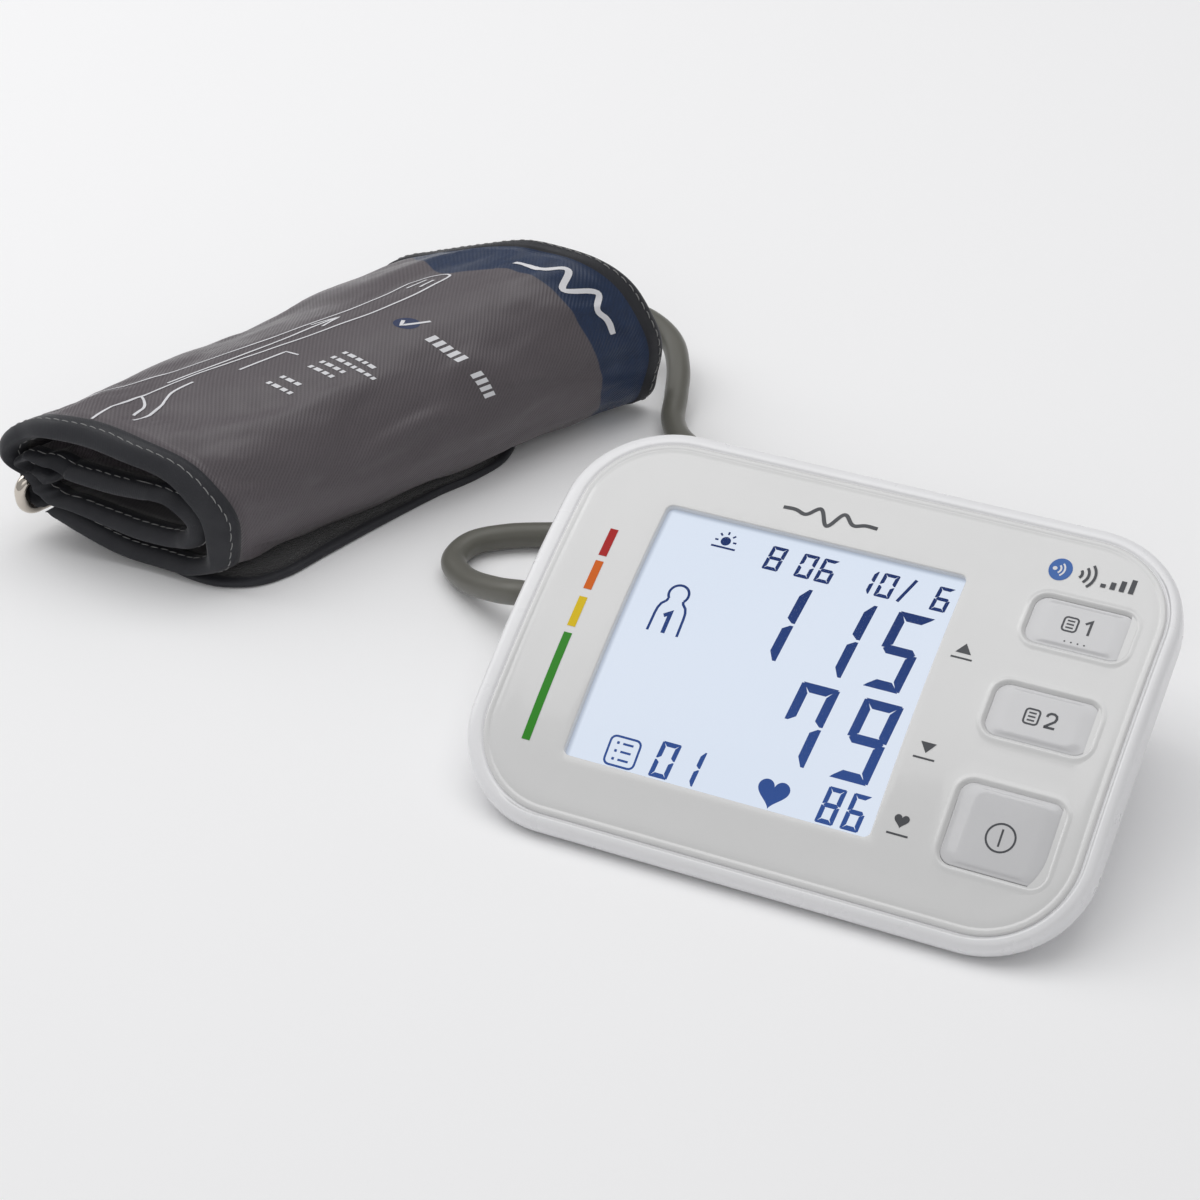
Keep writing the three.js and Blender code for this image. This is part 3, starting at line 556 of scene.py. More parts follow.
def fill_face(outer, holes):
    """Triangles between an outer loop and its holes, with inner points that follow the crown."""
    points = [Vector(p) for p in outer]
    loops = [list(range(len(outer)))]
    for hole in holes:
        start = len(points)
        points.extend(Vector(p) for p in hole)
        loops.append(list(range(start, len(points))))
    xs = [p[0] for p in outer]
    ys = [p[1] for p in outer]

    def clear(x, y):
        return all(math.hypot(x - p[0], y - p[1]) > FILL_SPACING * 0.6 for p in points)

    def inside(x, y, loop):
        odd = False
        for a, b in zip(loop, loop[1:] + loop[:1]):
            if (a[1] > y) != (b[1] > y) and x < (b[0] - a[0]) * (y - a[1]) / (b[1] - a[1]) + a[0]:
                odd = not odd
        return odd

    extra = []
    x = min(xs) + FILL_SPACING
    while x < max(xs):
        y = min(ys) + FILL_SPACING
        while y < max(ys):
            if inside(x, y, outer) and not any(inside(x, y, h) for h in holes) and clear(x, y):
                extra.append(Vector((x, y)))
            y += FILL_SPACING
        x += FILL_SPACING
    edges = [(loop[i], loop[(i + 1) % len(loop)]) for loop in loops for i in range(len(loop))]
    flat, _, faces, *_ = delaunay_2d_cdt(points + extra, edges, [], 0, 1e-5)
    kept = []
    for triangle in faces:
        cx = sum(flat[i][0] for i in triangle) / len(triangle)
        cy = sum(flat[i][1] for i in triangle) / len(triangle)
        if inside(cx, cy, outer) and not any(inside(cx, cy, h) for h in holes):
            kept.append(tuple(triangle))
    return [on_face(p[0], p[1]) for p in flat], kept


def face_panel():
    shape = Shape()
    edge = (
        (0.0, -0.46), (0.05, -0.3), (0.18, -0.06), (0.4, 0.08), (0.75, 0.13), (1.1, 0.1), (1.35, 0.0),
        (1.5, -0.06), (1.7, -0.05), (2.0, 0.02), (2.6, 0.1), (3.4, 0.12), (5.0, 0.06), (7.0, 0.0),
    )
    shape.rings(
        [face_loop(grown(PANEL_EDGE, -i), PANEL_CORNER - i, up, **ROUND_SHELL) for i, up in edge]
    )
    last = edge[-1][0]
    inner = round_rect(*grown(PANEL_EDGE, -last), PANEL_CORNER - last, **ROUND_SHELL)

    sill = ((0.35, 0.0), (0.12, -0.05), (0.0, -0.3), (0.0, -1.1), (0.0, -1.9))
    shape.rings([face_loop(grown(WINDOW, g), WINDOW_CORNER + g, up) for g, up in sill])
    first = sill[0][0]
    holes = [round_rect(*grown(WINDOW, first), WINDOW_CORNER + first)]
    halo = (
        (2.2, 0.0), (1.8, 0.05), (1.45, 0.15), (1.15, 0.25), (0.9, 0.28), (0.7, 0.22), (0.5, 0.06),
        (0.3, -0.16), (0.12, -0.36), (0.02, -0.44), (0.02, -1.3),
    )
    first = halo[0][0]
    for kx, ky, width, height in KEYS.values():
        box = (kx - width / 2, kx + width / 2, ky - height / 2, ky + height / 2)
        shape.rings([face_loop(grown(box, g), KEY_CORNER + g, up, **ROUND_KEY) for g, up in halo])
        holes.append(round_rect(*grown(box, first), KEY_CORNER + first, **ROUND_KEY))
    verts, faces = fill_face(inner, holes)
    start = len(shape.verts)
    shape.verts.extend(verts)
    shape.faces.extend(tuple(i + start for i in f) for f in faces)
    panel = shape.piece("face_panel_visual", PANEL, replaces=["face_panel"], slot="face_panel")
    weld(panel)


def weld(obj, distance=0.00001):
    work = bmesh.new()
    work.from_mesh(obj.data)
    bmesh.ops.remove_doubles(work, verts=work.verts, dist=distance)
    bmesh.ops.recalc_face_normals(work, faces=work.faces)
    work.to_mesh(obj.data)
    work.free()


def key_cap(node, centre_x, centre_y, width, height):
    lean = -math.asin(centre_y / CROWN_RADIUS)

    def local(x, y, z):
        return face(
            centre_x + x,
            centre_y + y * math.cos(lean) - z * math.sin(lean),
            crown(centre_y) + y * math.sin(lean) + z * math.cos(lean),
        )

    shape = Shape()
    loops = []
    # (inset at the sides, inset at top and bottom, height)
    profile = (
        (0.0, 0.0, -3.6), (0.0, 0.0, -0.56), (0.06, 0.06, -0.5), (0.25, 0.2, -0.48),
        (0.6, 0.4, -0.47), (1.4, 0.65, -0.41), (2.4, 0.85, -0.28), (3.0, 1.0, -0.2),
        (3.6, 1.2, -0.14), (4.4, 1.6, -0.12),
    )
    for side, end, up in profile:
        r = max(0.6, KEY_CORNER - end)
        points = round_rect(
            -width / 2 + side, width / 2 - side, -height / 2 + end, height / 2 - end, r, arc=8, side=8
        )
        loops.append([local(x, y, up) for x, y in points])
    top = shape.rings(loops)[-1]
    middle = shape.ring([local(0, 0, profile[-1][2])])[0]
    for a, b in zip(top, top[1:] + top[:1]):
        shape.faces.append((a, b, middle))
    shape.piece(f"{node}_visual", KEY, body=node, replaces=[node], slot="key_cap")
    return local


upper_housing()
face_panel()
KEY_FRAMES = {node: key_cap(node, *size) for node, size in KEYS.items()}


# ---------------------------------------------------------------- display
LCD_LEVEL = -1.75
INK_FADE = 62.0
DIGIT_SLANT = 0.09
SEGMENT_GAP = 0.1
# for each row: its digits as (digit, left edge, width), then their foot, height and thickness
DIGIT_ROWS = (
    ((("1", -17.2, 9.7), ("1", -2.5, 9.7), ("5", 10.3, 9.9)), -1.0, 19.0, 2.15),
    ((("7", -3.6, 10.2), ("9", 10.4, 10.3)), -22.3, 18.8, 2.15),
    ((("8", 10.8, 4.7), ("6", 16.3, 4.7), ("0", -26.6, 5.0), ("1", -20.8, 5.0)), -32.3, 8.1, 1.05),
    ((("8", -20.4, 4.2), ("0", -13.1, 4.1), ("6", -8.5, 4.1)), 20.0, 6.2, 0.85),
    ((("1", 0.6, 4.0), ("0", 5.2, 4.1), ("6", 17.6, 4.1)), 20.0, 6.2, 0.85),
)


def lcd_material():
    """A lit display: pale blue, with the soft shade of the window's top and left edges on it."""
    look = Look("display_ground", srgb(20, 22, 26), 0.4, Specular_IOR_Level=0.1)
    right, down = look.cloth_axes()
    beside_left = look.ramp(right, 0.0, 1.2, 0.55, kind="SMOOTHSTEP")
    below_top = look.ramp(down, 0.0, 1.2, 0.5, kind="SMOOTHSTEP")
    shade = look.math("MULTIPLY", beside_left, below_top)
    drift = look.blend(look.noise(14, 1.0), srgb(217, 229, 246), srgb(227, 235, 248))
    lit = look.blend(shade, srgb(90, 104, 128), drift)
    look.link(lit, look.shader.inputs["Emission Color"])
    look.shader.inputs["Emission Strength"].default_value = 0.96
    return look.material


def segment_material():
    """Dark blue at the top of the window, paler towards its foot."""
    look = Look("display_segments", srgb(4, 8, 22), 0.5, Specular_IOR_Level=0.1)
    down = look.cloth_axes()[1]
    share = look.ramp(down, 0.0, INK_FADE)
    ink = look.blend(share, srgb(18, 42, 98), srgb(52, 84, 152))
    look.link(ink, look.shader.inputs["Emission Color"])
    look.shader.inputs["Emission Strength"].default_value = 0.9
    return look.material


LCD = lcd_material()
INK = segment_material()


def set_uv(obj, values):
    """Gives each vertex a UV, in millimetres."""
    layer = obj.data.uv_layers.new(name="cloth")
    for loop in obj.data.loops:
        layer.data[loop.index].uv = values[loop.vertex_index]


class Ink:
    """Flat printed shapes on the face, as polygons in face coordinates."""

    def __init__(self, up, place=on_face):
        self.shape = Shape()
        self.up = up
        self.place = place
        self.flat = []

    def polygon(self, points):
        points = [Vector(p) for p in points]
        ring = self.shape.ring([self.place(p[0], p[1], self.up) for p in points])
        self.flat.extend(points)
        self.shape.faces.append(tuple(ring))

    def stroke(self, points, width, closed=False):
        """A line of even width with mitred corners and square ends."""
        pts = [Vector(p) for p in points]
        count = len(pts)
        left, right = [], []
        for i in range(count):
            if closed:
                before, after = pts[i - 1], pts[(i + 1) % count]
            else:
                before, after = pts[max(i - 1, 0)], pts[min(i + 1, count - 1)]
            a = (pts[i] - before).normalized() if pts[i] != before else (after - pts[i]).normalized()
            b = (after - pts[i]).normalized() if pts[i] != after else a
            mean = (a + b).normalized()
            normal = Vector((-mean.y, mean.x))
            reach = width / 2 / max(0.45, mean.dot(b))
            left.append(pts[i] + normal * reach)
            right.append(pts[i] - normal * reach)
        a = self.shape.ring([self.place(p[0], p[1], self.up) for p in left])
        b = self.shape.ring([self.place(p[0], p[1], self.up) for p in right])
        self.flat.extend(left + right)
        self.shape.bridge(a, b, closed)

    def disc(self, x, y, radius, sides=32, squash=1.0):
        angles = [2 * math.pi * k / sides for k in range(sides)]
        self.polygon([(x + radius * math.cos(a), y + radius * squash * math.sin(a)) for a in angles])

    def arc(self, x, y, radius, start, end, width, sides=24):
        angles = [math.radians(mix(start, end, k / sides)) for k in range(sides + 1)]
        self.stroke([(x + radius * math.cos(a), y + radius * math.sin(a)) for a in angles], width)

    def digit(self, char, x, y, width, height, thick):
        """A seven-segment digit whose lower left corner is at x, y."""
        t = thick
        g = SEGMENT_GAP * thick + 0.06
        m = height / 2

        def lean(px, py):
            return (x + px + py * DIGIT_SLANT, y + py)

        w = width - height * DIGIT_SLANT
        upright = {
            "b": (w, m, height), "c": (w, 0, m), "f": (0, m, height), "e": (0, 0, m),
        }
        level = {"a": height, "g": m, "d": 0}
        on = {
            "0": "abcdef", "1": "bc", "2": "abged", "3": "abgcd", "4": "fgbc", "5": "afgcd",
            "6": "afgedc", "7": "abcf", "8": "abcdefg", "9": "abcdfg",
        }[char]
        for s in on:
            if s in upright:
                edge, low, high = upright[s]
                inward = -1 if edge else 1
                low += g
                high -= g
                cut_low = t if low < m * 0.5 else t * 0.5
                cut_high = t if high > m * 1.5 else t * 0.5
                pts = [
                    (edge, low), (edge, high), (edge + inward * t * 0.35, high),
                    (edge + inward * t, high - cut_high), (edge + inward * t, low + cut_low),
                    (edge + inward * t * 0.35, low),
                ]
            else:
                at = level[s]
                if s == "g":
                    pts = [
                        (g + 0.2, at), (t * 0.6 + g, at + t / 2), (w - t * 0.6 - g, at + t / 2),
                        (w - g - 0.2, at), (w - t * 0.6 - g, at - t / 2), (t * 0.6 + g, at - t / 2),
                    ]
                else:
                    inward = -1 if s == "a" else 1
                    pts = [
                        (g, at), (w - g, at), (w - g - t * 0.3, at + inward * t * 0.35),
                        (w - t - g, at + inward * t), (t + g, at + inward * t),
                        (g + t * 0.3, at + inward * t * 0.35),
                    ]
            self.polygon([lean(px, py) for px, py in pts])

    def heart(self, x, y, size):
        points = []
        for k in range(48):
            a = 2 * math.pi * k / 48
            hx = 16 * math.sin(a) ** 3
            hy = 13 * math.cos(a) - 5 * math.cos(2 * a) - 2 * math.cos(3 * a) - math.cos(4 * a)
            points.append((x + hx * size / 32, y + (hy + 2.5) * size / 32))
        self.polygon(points)

    def piece(self, name, material, **options):
        obj = self.shape.piece(name, material, flat=True, **options)
        face_normal = Vector((0, -math.sin(TILT), math.cos(TILT)))
        work = bmesh.new()
        work.from_mesh(obj.data)
        wrong = [f for f in work.faces if f.normal.dot(face_normal) < 0]
        bmesh.ops.reverse_faces(work, faces=wrong)
        bmesh.ops.triangulate(work, faces=work.faces)
        work.to_mesh(obj.data)
        work.free()
        set_uv(obj, [(p[0] - WINDOW[0], WINDOW[3] - p[1]) for p in self.flat])
        return obj


def display():
    x0, x1, y0, y1 = WINDOW
    ground = Shape()
    columns, rows = 30, 28
    flat = []
    loops = []
    for j in range(rows + 1):
        y = mix(y0 - 0.6, y1 + 0.6, j / rows)
        row = [(mix(x0 - 0.6, x1 + 0.6, i / columns), y) for i in range(columns + 1)]
        flat.extend(row)
        loops.append([on_face(px, py, LCD_LEVEL) for px, py in row])
    ground.rings(loops, closed=False)
    lcd = ground.piece("lcd_glass_visual", LCD, replaces=["lcd_glass"], slot="display_glass")
    set_uv(lcd, [(px - x0, y1 - py) for px, py in flat])

    ink = Ink(LCD_LEVEL + 0.06)
    for digits, foot, height, thick in DIGIT_ROWS:
        for char, left, width in digits:
            ink.digit(char, left, foot, width, height, thick)
    ink.stroke([(10.6, 20.0), (12.9, 26.2)], 0.75)
    ink.heart(0.5, -29.3, 7.0)
    # a sun over a line, for the morning
    ink.disc(-30.4, 24.4, 1.15, 20)
    for k in range(5):
        a = math.radians(45 * k)
        c, s = math.cos(a), math.sin(a)
        ink.stroke([(-30.4 + 1.7 * c, 24.4 + 1.7 * s), (-30.4 + 2.5 * c, 24.4 + 2.5 * s)], 0.45)
    ink.stroke([(-33.2, 22.7), (-27.6, 22.7)], 0.5)
    # a framed list, for the memory
    ink.stroke(round_rect(-37.0, -30.2, -32.2, -25.8, 1.2, arc=4, side=1), 0.5, closed=True)
    for k in range(3):
        ink.stroke([(-35.5, -30.8 + 1.8 * k), (-34.9, -30.8 + 1.8 * k)], 0.6)
        ink.stroke([(-34.1, -30.8 + 1.8 * k), (-31.7, -30.8 + 1.8 * k)], 0.5)
    # the outline of a user, with the number 1
    ink.arc(-35.2, 8.9, 2.25, -40, 220, 0.6, 30)
    for side in (-1, 1):
        body = [(1.72, 7.45), (1.95, 6.8), (2.8, 5.9), (3.2, 4.8), (3.35, 3.4), (3.45, -1.0)]
        ink.stroke([(-35.3 + side * px, py) for px, py in body], 0.6)
    ink.stroke([(-36.5, 3.2), (-35.2, 4.1), (-35.2, -0.9)], 0.95)
    ink.piece("lcd_segments", INK, slot="display_glass")

    pane = Shape()
    loops = []
    for inset in (0.0, 0.15, 4, 10, 18, 26):
        up = -0.12 if inset else -0.3
        loops.append(face_loop(grown(WINDOW, -inset), max(1.4 - inset, 0.2), up))
    pane.cap(pane.rings(loops)[-1])
    window = pane.piece(
        "display_window_visual", clear_window(), replaces=["display_window"], slot="clear_window"
    )
    window.visible_shadow = False


def clear_window():
    look = Look("clear_window", (0.1, 0.11, 0.12, 1.0), 0.03, Alpha=0.03)
    look.vary(0.02, 30)
    return look.material


display()


# ---------------------------------------------------------------- prints on the panel
def pulse_height(share):
    """A plain wave that swells and fades, from -1 to 1, along a line from 0 to 1."""
    return math.sin(share * 7 * math.pi) * math.exp(-(((share - 0.5) / 0.24) ** 2))


def panel_prints():
    ink = Ink(0.06)
    # a plain wave above the window
    beat = [(-21 + 21.7 * k / 80, 35.6 + pulse_height(k / 80) * 2.3) for k in range(81)]
    ink.stroke(beat, 0.9)
    # readings: upper, lower and pulse
    ink.polygon([(27.0, 11.0), (30.4, 11.0), (28.7, 13.4)])
    ink.polygon([(27.0, -10.4), (30.4, -10.4), (28.7, -12.8)])
    ink.heart(28.7, -28.2, 3.2)
    for level in (9.8, -14.0, -31.0):
        ink.stroke([(26.4, level), (31.0, level)], 0.4)
    ink.piece("panel_print", PRINT, slot="black_plastic")

    bars = (
        ((19.8, 12.7), (172, 22, 22)), ((11.3, 4.0), (214, 98, 4)),
        ((2.0, -5.4), (222, 190, 12)), ((-7.0, -32.5), (50, 138, 36)),
    )
    for index, ((high, low), colour) in enumerate(bars):
        bar = Ink(0.06)
        pieces = max(2, round((high - low) / 3))
        for k in range(pieces):
            a, b = mix(low, high, k / pieces), mix(low, high, (k + 1) / pieces)
            bar.polygon([(-55.5, a), (-53.6, a), (-53.6, b), (-55.5, b)])
        paint = moulded(f"scale_print_{index + 1}", srgb(*colour), 0.4, Specular_IOR_Level=0.2)
        bar.piece(f"risk_scale_{index + 1}", paint, slot="face_panel")

    badge = Ink(0.06)
    badge.disc(41.3, 36.4, 2.5, 40, 1.15)
    badge.piece("wireless_badge", BADGE, slot="face_panel")
    waves = Ink(0.08)
    waves.disc(40.1, 36.4, 0.5, 16)
    for radius in (1.3, 2.1):
        waves.arc(40.1, 36.4, radius, -48, 48, 0.4)
    waves.piece("wireless_badge_waves", CLOTH_PRINT, slot="face_panel")
    lines = Ink(0.14)
    for radius in (1.4, 2.8, 4.2):
        lines.arc(44.6, 36.4, radius, -42, 42, 0.6)
    for k in range(4):
        x = 51.0 + 2.0 * k
        lines.stroke([(x, 34.4), (x, 35.3 + 0.9 * k)], 1.1)
    lines.piece("wireless_waves", PRINT, slot="black_plastic")


def key_prints():
    one = (((0.9, 0.9), (2.1, 1.75), (2.1, -1.75)),)
    two = (
        (
            (0.9, 0.8), (1.05, 1.35), (1.6, 1.7), (2.3, 1.7), (2.85, 1.35), (3.0, 0.75), (2.8, 0.1),
            (0.95, -1.5),
        ),
        ((0.85, -1.5), (3.15, -1.5)),
    )
    for node, digit, middle in (("key_memory_1", one, 0.3), ("key_memory_2", two, -0.1)):
        ink = Ink(-0.09, KEY_FRAMES[node])
        for points in digit:
            ink.stroke([(x, y + middle) for x, y in points], 0.55)
        frame_line = round_rect(-3.6, -0.6, -1.7 + middle, 1.7 + middle, 0.7, arc=4, side=1)
        ink.stroke(frame_line, 0.42, closed=True)
        for level in (-0.85, 0.0, 0.85):
            ink.stroke([(-2.9, level + middle), (-1.3, level + middle)], 0.38)
        if node == "key_memory_1":
            for k in range(4):
                ink.disc(-2.0 + 1.4 * k, -3.9, 0.2, 10)
        ink.piece(f"{node}_print", PRINT, body=node, slot="black_plastic")
    ink = Ink(-0.09, KEY_FRAMES["key_start_stop"])
    ink.arc(0.1, -1.0, 3.0, 0, 360, 0.42, 48)
    ink.stroke([(0.1, -2.9), (0.1, 0.9)], 0.42)
    ink.piece("key_start_stop_print", PRINT, body="key_start_stop", slot="black_plastic")


panel_prints()
key_prints()

# ---------------------------------------------------------------- cuff
NEAR_Y = 7.0
FAR_Y = 112.0
TABLE_GAP = 1.7
DEPTH = 17.6
NEAR = (
    (-197, 1.7), (-178, 1.7), (-160, 1.7), (-151.8, 5.4), (-149.2, 14), (-152.2, 24),
    (-160.5, 31.6), (-173, 36), (-188, 37), (-200.5, 35), (-208, 29.6), (-210, 22.6),
    (-205.2, 17.4), (-203.4, 11), (-203, 5),
)
NEAR_SPINE = ((-190, 19), (-168, 19))
FAR = (
    (-147, 1.7), (-120, 1.7), (-97, 1.7), (-87.6, 5.6), (-84.4, 14), (-84.8, 25),
    (-91, 35.4), (-102, 42.6), (-114, 44), (-128, 41), (-147, 34), (-158, 28),
    (-157.4, 19.4), (-154.6, 12), (-153, 5),
)
FAR_SPINE = ((-139, 16.5), (-106, 22))
PER_SPAN = 40
COLUMNS = 300
# where the navy band starts: (turn, share of the cuff's width)
NAVY_EDGE = (
    (0.0, 0.9), (0.1, 0.88), (0.19, 0.86), (0.27, 0.84), (0.38, 0.838), (0.457, 0.857),
    (0.517, 0.857), (0.545, 0.83), (0.565, 0.81), (0.62, 0.86), (0.66, 0.915),
    (0.7, 0.945), (1.0, 0.95),
)
# how deep the sheet lies inside the roll's outline: (turn, depth)
WIND = (
    (-0.03, 3.2), (0.0, 2.8), (0.075, 0.0), (0.77, 0.0), (0.82, 0.8), (0.87, 3.0), (0.93, 5.4),
    (1.02, 7.2), (1.15, 7.2), (1.28, 5.6), (1.4, 9.6), (1.5, 12.4), (1.57, 12.2), (1.63, 9.0),
    (1.68, 5.6), (1.74, 4.0), (1.9, 3.9),
)
# where the tip of the bound edge sits in the thickness, as it hangs to the lower face
DROOP = ((0.2, 0.25), (0.3, 0.72), (0.76, 0.72), (0.86, 0.25), (1.2, 0.25), (1.36, 0.72))
START = -0.022
TURNS = 1.79
LOWEST = 1.4
MIDDLE_Y = 60
OFF_BAND = -5.0


def straight(low, high, x):
    return (x - low) / (high - low)


def table_value(table, x, ease=smooth):
    for (a, va), (b, vb) in zip(table, table[1:]):
        if x <= b:
            return mix(va, vb, ease(a, b, x))
    return table[-1][1]


NEAR_LINE = through([(x, z, 0) for x, z in NEAR], closed=True, steps=PER_SPAN)
FAR_LINE = through([(x, z, 0) for x, z in FAR], closed=True, steps=PER_SPAN)
NAVY_LINE = [(p.x, p.y) for p in through([(a, b, 0) for a, b in NAVY_EDGE], steps=12)]


def section_point(line, spine, turn, depth):
    at = (turn % 1.0) * len(line)
    i = int(at)
    a, b = line[i % len(line)], line[(i + 1) % len(line)]
    p = a.lerp(b, at - i)
    (x0, z0), (x1, z1) = spine
    along = min(1.0, max(0.0, straight(x0, x1, p.x)))
    share = depth / DEPTH
    z = max(p.y, TABLE_GAP)
    return mix(p.x, mix(x0, x1, along), share), mix(z, mix(z0, z1, along), share)


def roll_point(turn, y, depth):
    """A point of the rolled cuff: `depth` is measured in from the outline at that turn."""
    share = (y - NEAR_Y) / (FAR_Y - NEAR_Y)
    x0, z0 = section_point(NEAR_LINE, NEAR_SPINE, turn, depth)
    x1, z1 = section_point(FAR_LINE, FAR_SPINE, turn, depth)
    x, z = mix(x0, x1, share), mix(z0, z1, share)
    return Vector((x, y, z + corner_lift(x, y) * (1 - smooth(4, 30, z))))


def corner_lift(x, y):
    """The left corner of the near end stands clear of the table."""
    return 6.0 * (1 - smooth(-206, -172, x)) * (1 - smooth(6, 44, y))


def thickness(turn):
    """Thickness of the padded sheet, thinner under the roll and at its two ends."""
    t = 4.2 - 0.6 * (1 - smooth(0.12, 0.3, turn)) - 0.4 * smooth(0.95, 1.05, turn)
    t -= 1.8 * smooth(1.58, 1.72, turn)
    t -= 0.8 * smooth(0.6, 0.68, turn) * (1 - smooth(0.84, 0.95, turn))
    start = min(1.0, max(0.0, (turn - START) / 0.01))
    end = min(1.0, max(0.0, (TURNS - turn) / 0.02))
    return t * math.sqrt(max(0.02, 1 - (1 - start) ** 2)) * math.sqrt(max(0.02, 1 - (1 - end) ** 2))


def edge_wave(turn, far):
    """How far the bound edge wanders in and out along the roll."""
    if far:
        return 0.7 * math.sin(2 * math.pi * (turn * 3.1 + 0.1)) + 0.3 * math.sin(2 * math.pi * turn * 7.7)
    return 0.35 * math.sin(2 * math.pi * (turn * 4.1 + 0.3)) + 0.25 * math.sin(2 * math.pi * turn * 9.3)


NEAR_NOSE = 7.4
FAR_NOSE = 109.4
NOSE = 2.6
NOSE_STEPS = 8
TAPE_BACK = 2.6
TAPE_RISE = 0.32
TAPE_STEP = 0.12
CLOTH_ROWS = 50


def section_stations():
    """The closed section of the sheet along the cuff: (y, share of the thickness, tape or cloth)."""
    quarter = [math.radians(90 * k / NOSE_STEPS) for k in range(NOSE_STEPS + 1)]

    def nose(at, way, angles):
        return [
            (at + way * NOSE * math.cos(a) ** 1.35, 0.5 - 0.5 * math.sin(a) ** 1.35, 1)
            for a in angles
        ]

    stations = nose(NEAR_NOSE, -1, quarter)
    stations += [(NEAR_NOSE + TAPE_BACK * back, 0.0, 1) for back in (0.5, 1)]
    first = NEAR_NOSE + TAPE_BACK + TAPE_STEP
    last = FAR_NOSE - TAPE_BACK - TAPE_STEP
    stations += [(mix(first, last, k / CLOTH_ROWS), 0.0, 0) for k in range(CLOTH_ROWS + 1)]
    stations += [(FAR_NOSE - TAPE_BACK * back, 0.0, 1) for back in (1, 0.5)]
    stations += nose(FAR_NOSE, 1, quarter[::-1])
    inner = [(y, 1.0 - w, kind) for y, w, kind in stations[1:-1]]
    return stations + inner[::-1]


STATIONS = section_stations()


def sheet_point(turn, y, share, lift=0.0):
    """A point on the sheet: share 0 is its outer face and 1 its inner face."""
    tip = table_value(DROOP, turn)
    share = share * 2 * tip if share < 0.5 else mix(tip, 1.0, share * 2 - 1)
    far = smooth(FAR_Y - 26, FAR_Y, y)
    near = 1 - smooth(NEAR_Y, NEAR_Y + 18, y)
    shifted = y + edge_wave(turn, True) * far - edge_wave(turn, False) * near
    depth = table_value(WIND, turn)
    depth += share * thickness(turn) + lift * (2 * share - 1)
    if turn > 0.12:
        depth += (0.45 * edge_wave(turn + 0.04, True) + 0.3) * far * (1 - share)
        depth += (0.25 * edge_wave(turn + 0.07, False) + 0.15) * near * (1 - share)
    return roll_point(turn, shifted, depth)


def wrinkle(turn, y, share):
    """Soft folds in the cloth, deeper close to the bound edges."""
    at = Vector((turn * 16, y * 0.045, share * 3))
    broad = noise.fractal(at, 0.8, 2.0, 3)
    close = math.exp(-((y - NEAR_NOSE - 2) / 14) ** 2) + 0.8 * math.exp(-((FAR_NOSE - 2 - y) / 10) ** 2)
    fold = noise.fractal(Vector((turn * 30 + y * 0.06, y * 0.07 - turn * 6, 4 + share)), 0.7, 2.1, 3)
    ease = smooth(NEAR_NOSE + TAPE_BACK, NEAR_NOSE + 8, y)
    ease *= 1 - smooth(FAR_NOSE - 8, FAR_NOSE - TAPE_BACK, y)
    return (0.35 * broad + 1.15 * fold * close) * ease


def cuff_sheet():
    """The padded sheet, wound as one closed piece, with its navy band and bound edges marked."""
    shape = Shape()
    loops = []
    uvs = []
    navy = []
    run = 0.0
    before = None
    for i in range(COLUMNS + 1):
        turn = mix(START, TURNS, i / COLUMNS)
        band_start = NEAR_Y + (FAR_Y - NEAR_Y) * table_value(NAVY_LINE, turn, straight)
        middle = roll_point(turn, MIDDLE_Y, table_value(WIND, turn))
        if before is not None:
            run += (middle - before).length
        before = middle
        loop = []
        for y, share, kind in STATIONS:
            p = sheet_point(turn, y, share, TAPE_RISE if kind else 0.0)
            if not kind:
                out = sheet_point(turn, y, share, 1.0) - p
                p = p + out.normalized() * wrinkle(turn, y, share) * (1 if share < 0.5 else 0.5)
            p.z = max(p.z, LOWEST)
            loop.append(lay(*p))
            uvs.append((run, y * 1.12))
            navy.append(y - band_start if share < 0.5 and turn < 1 else OFF_BAND)
        loops.append(loop)
    made = shape.rings(loops)
    shape.cap(made[0])
    shape.cap(made[-1])
    sheet = shape.piece(
        "cuff_visual",
        [CUFF_CLOTH, LINING, TAPE],
        replaces=["cuff_cover", "cuff_bladder", "cuff_lining"],
        slot="cuff_nylon",
    )
    set_uv(sheet, uvs)
    band = sheet.data.attributes.new("navy", "FLOAT", "POINT")
    band.data.foreach_set("value", navy)
    count = len(STATIONS)
    for polygon in sheet.data.polygons:
        if len(polygon.vertices) > 4:
            polygon.material_index = 2
            continue
        _, shares, kinds = zip(*(STATIONS[v % count] for v in polygon.vertices))
        if max(kinds):
            polygon.material_index = 2
        elif min(shares) > 0.5:
            polygon.material_index = 1
    return sheet


CLOTH_STEPS = 18
SOFTENING = 5
MOST_PUFF = 0.0011
CLOTH = {
    "quality": 5, "mass": 0.15, "tension_stiffness": 12, "compression_stiffness": 12,
    "shear_stiffness": 6, "bending_stiffness": 0.25, "vertex_group_mass": "held",
    "pin_stiffness": 1.0, "shrink_min": -0.022, "use_pressure": True, "uniform_pressure_force": 2.5,
}


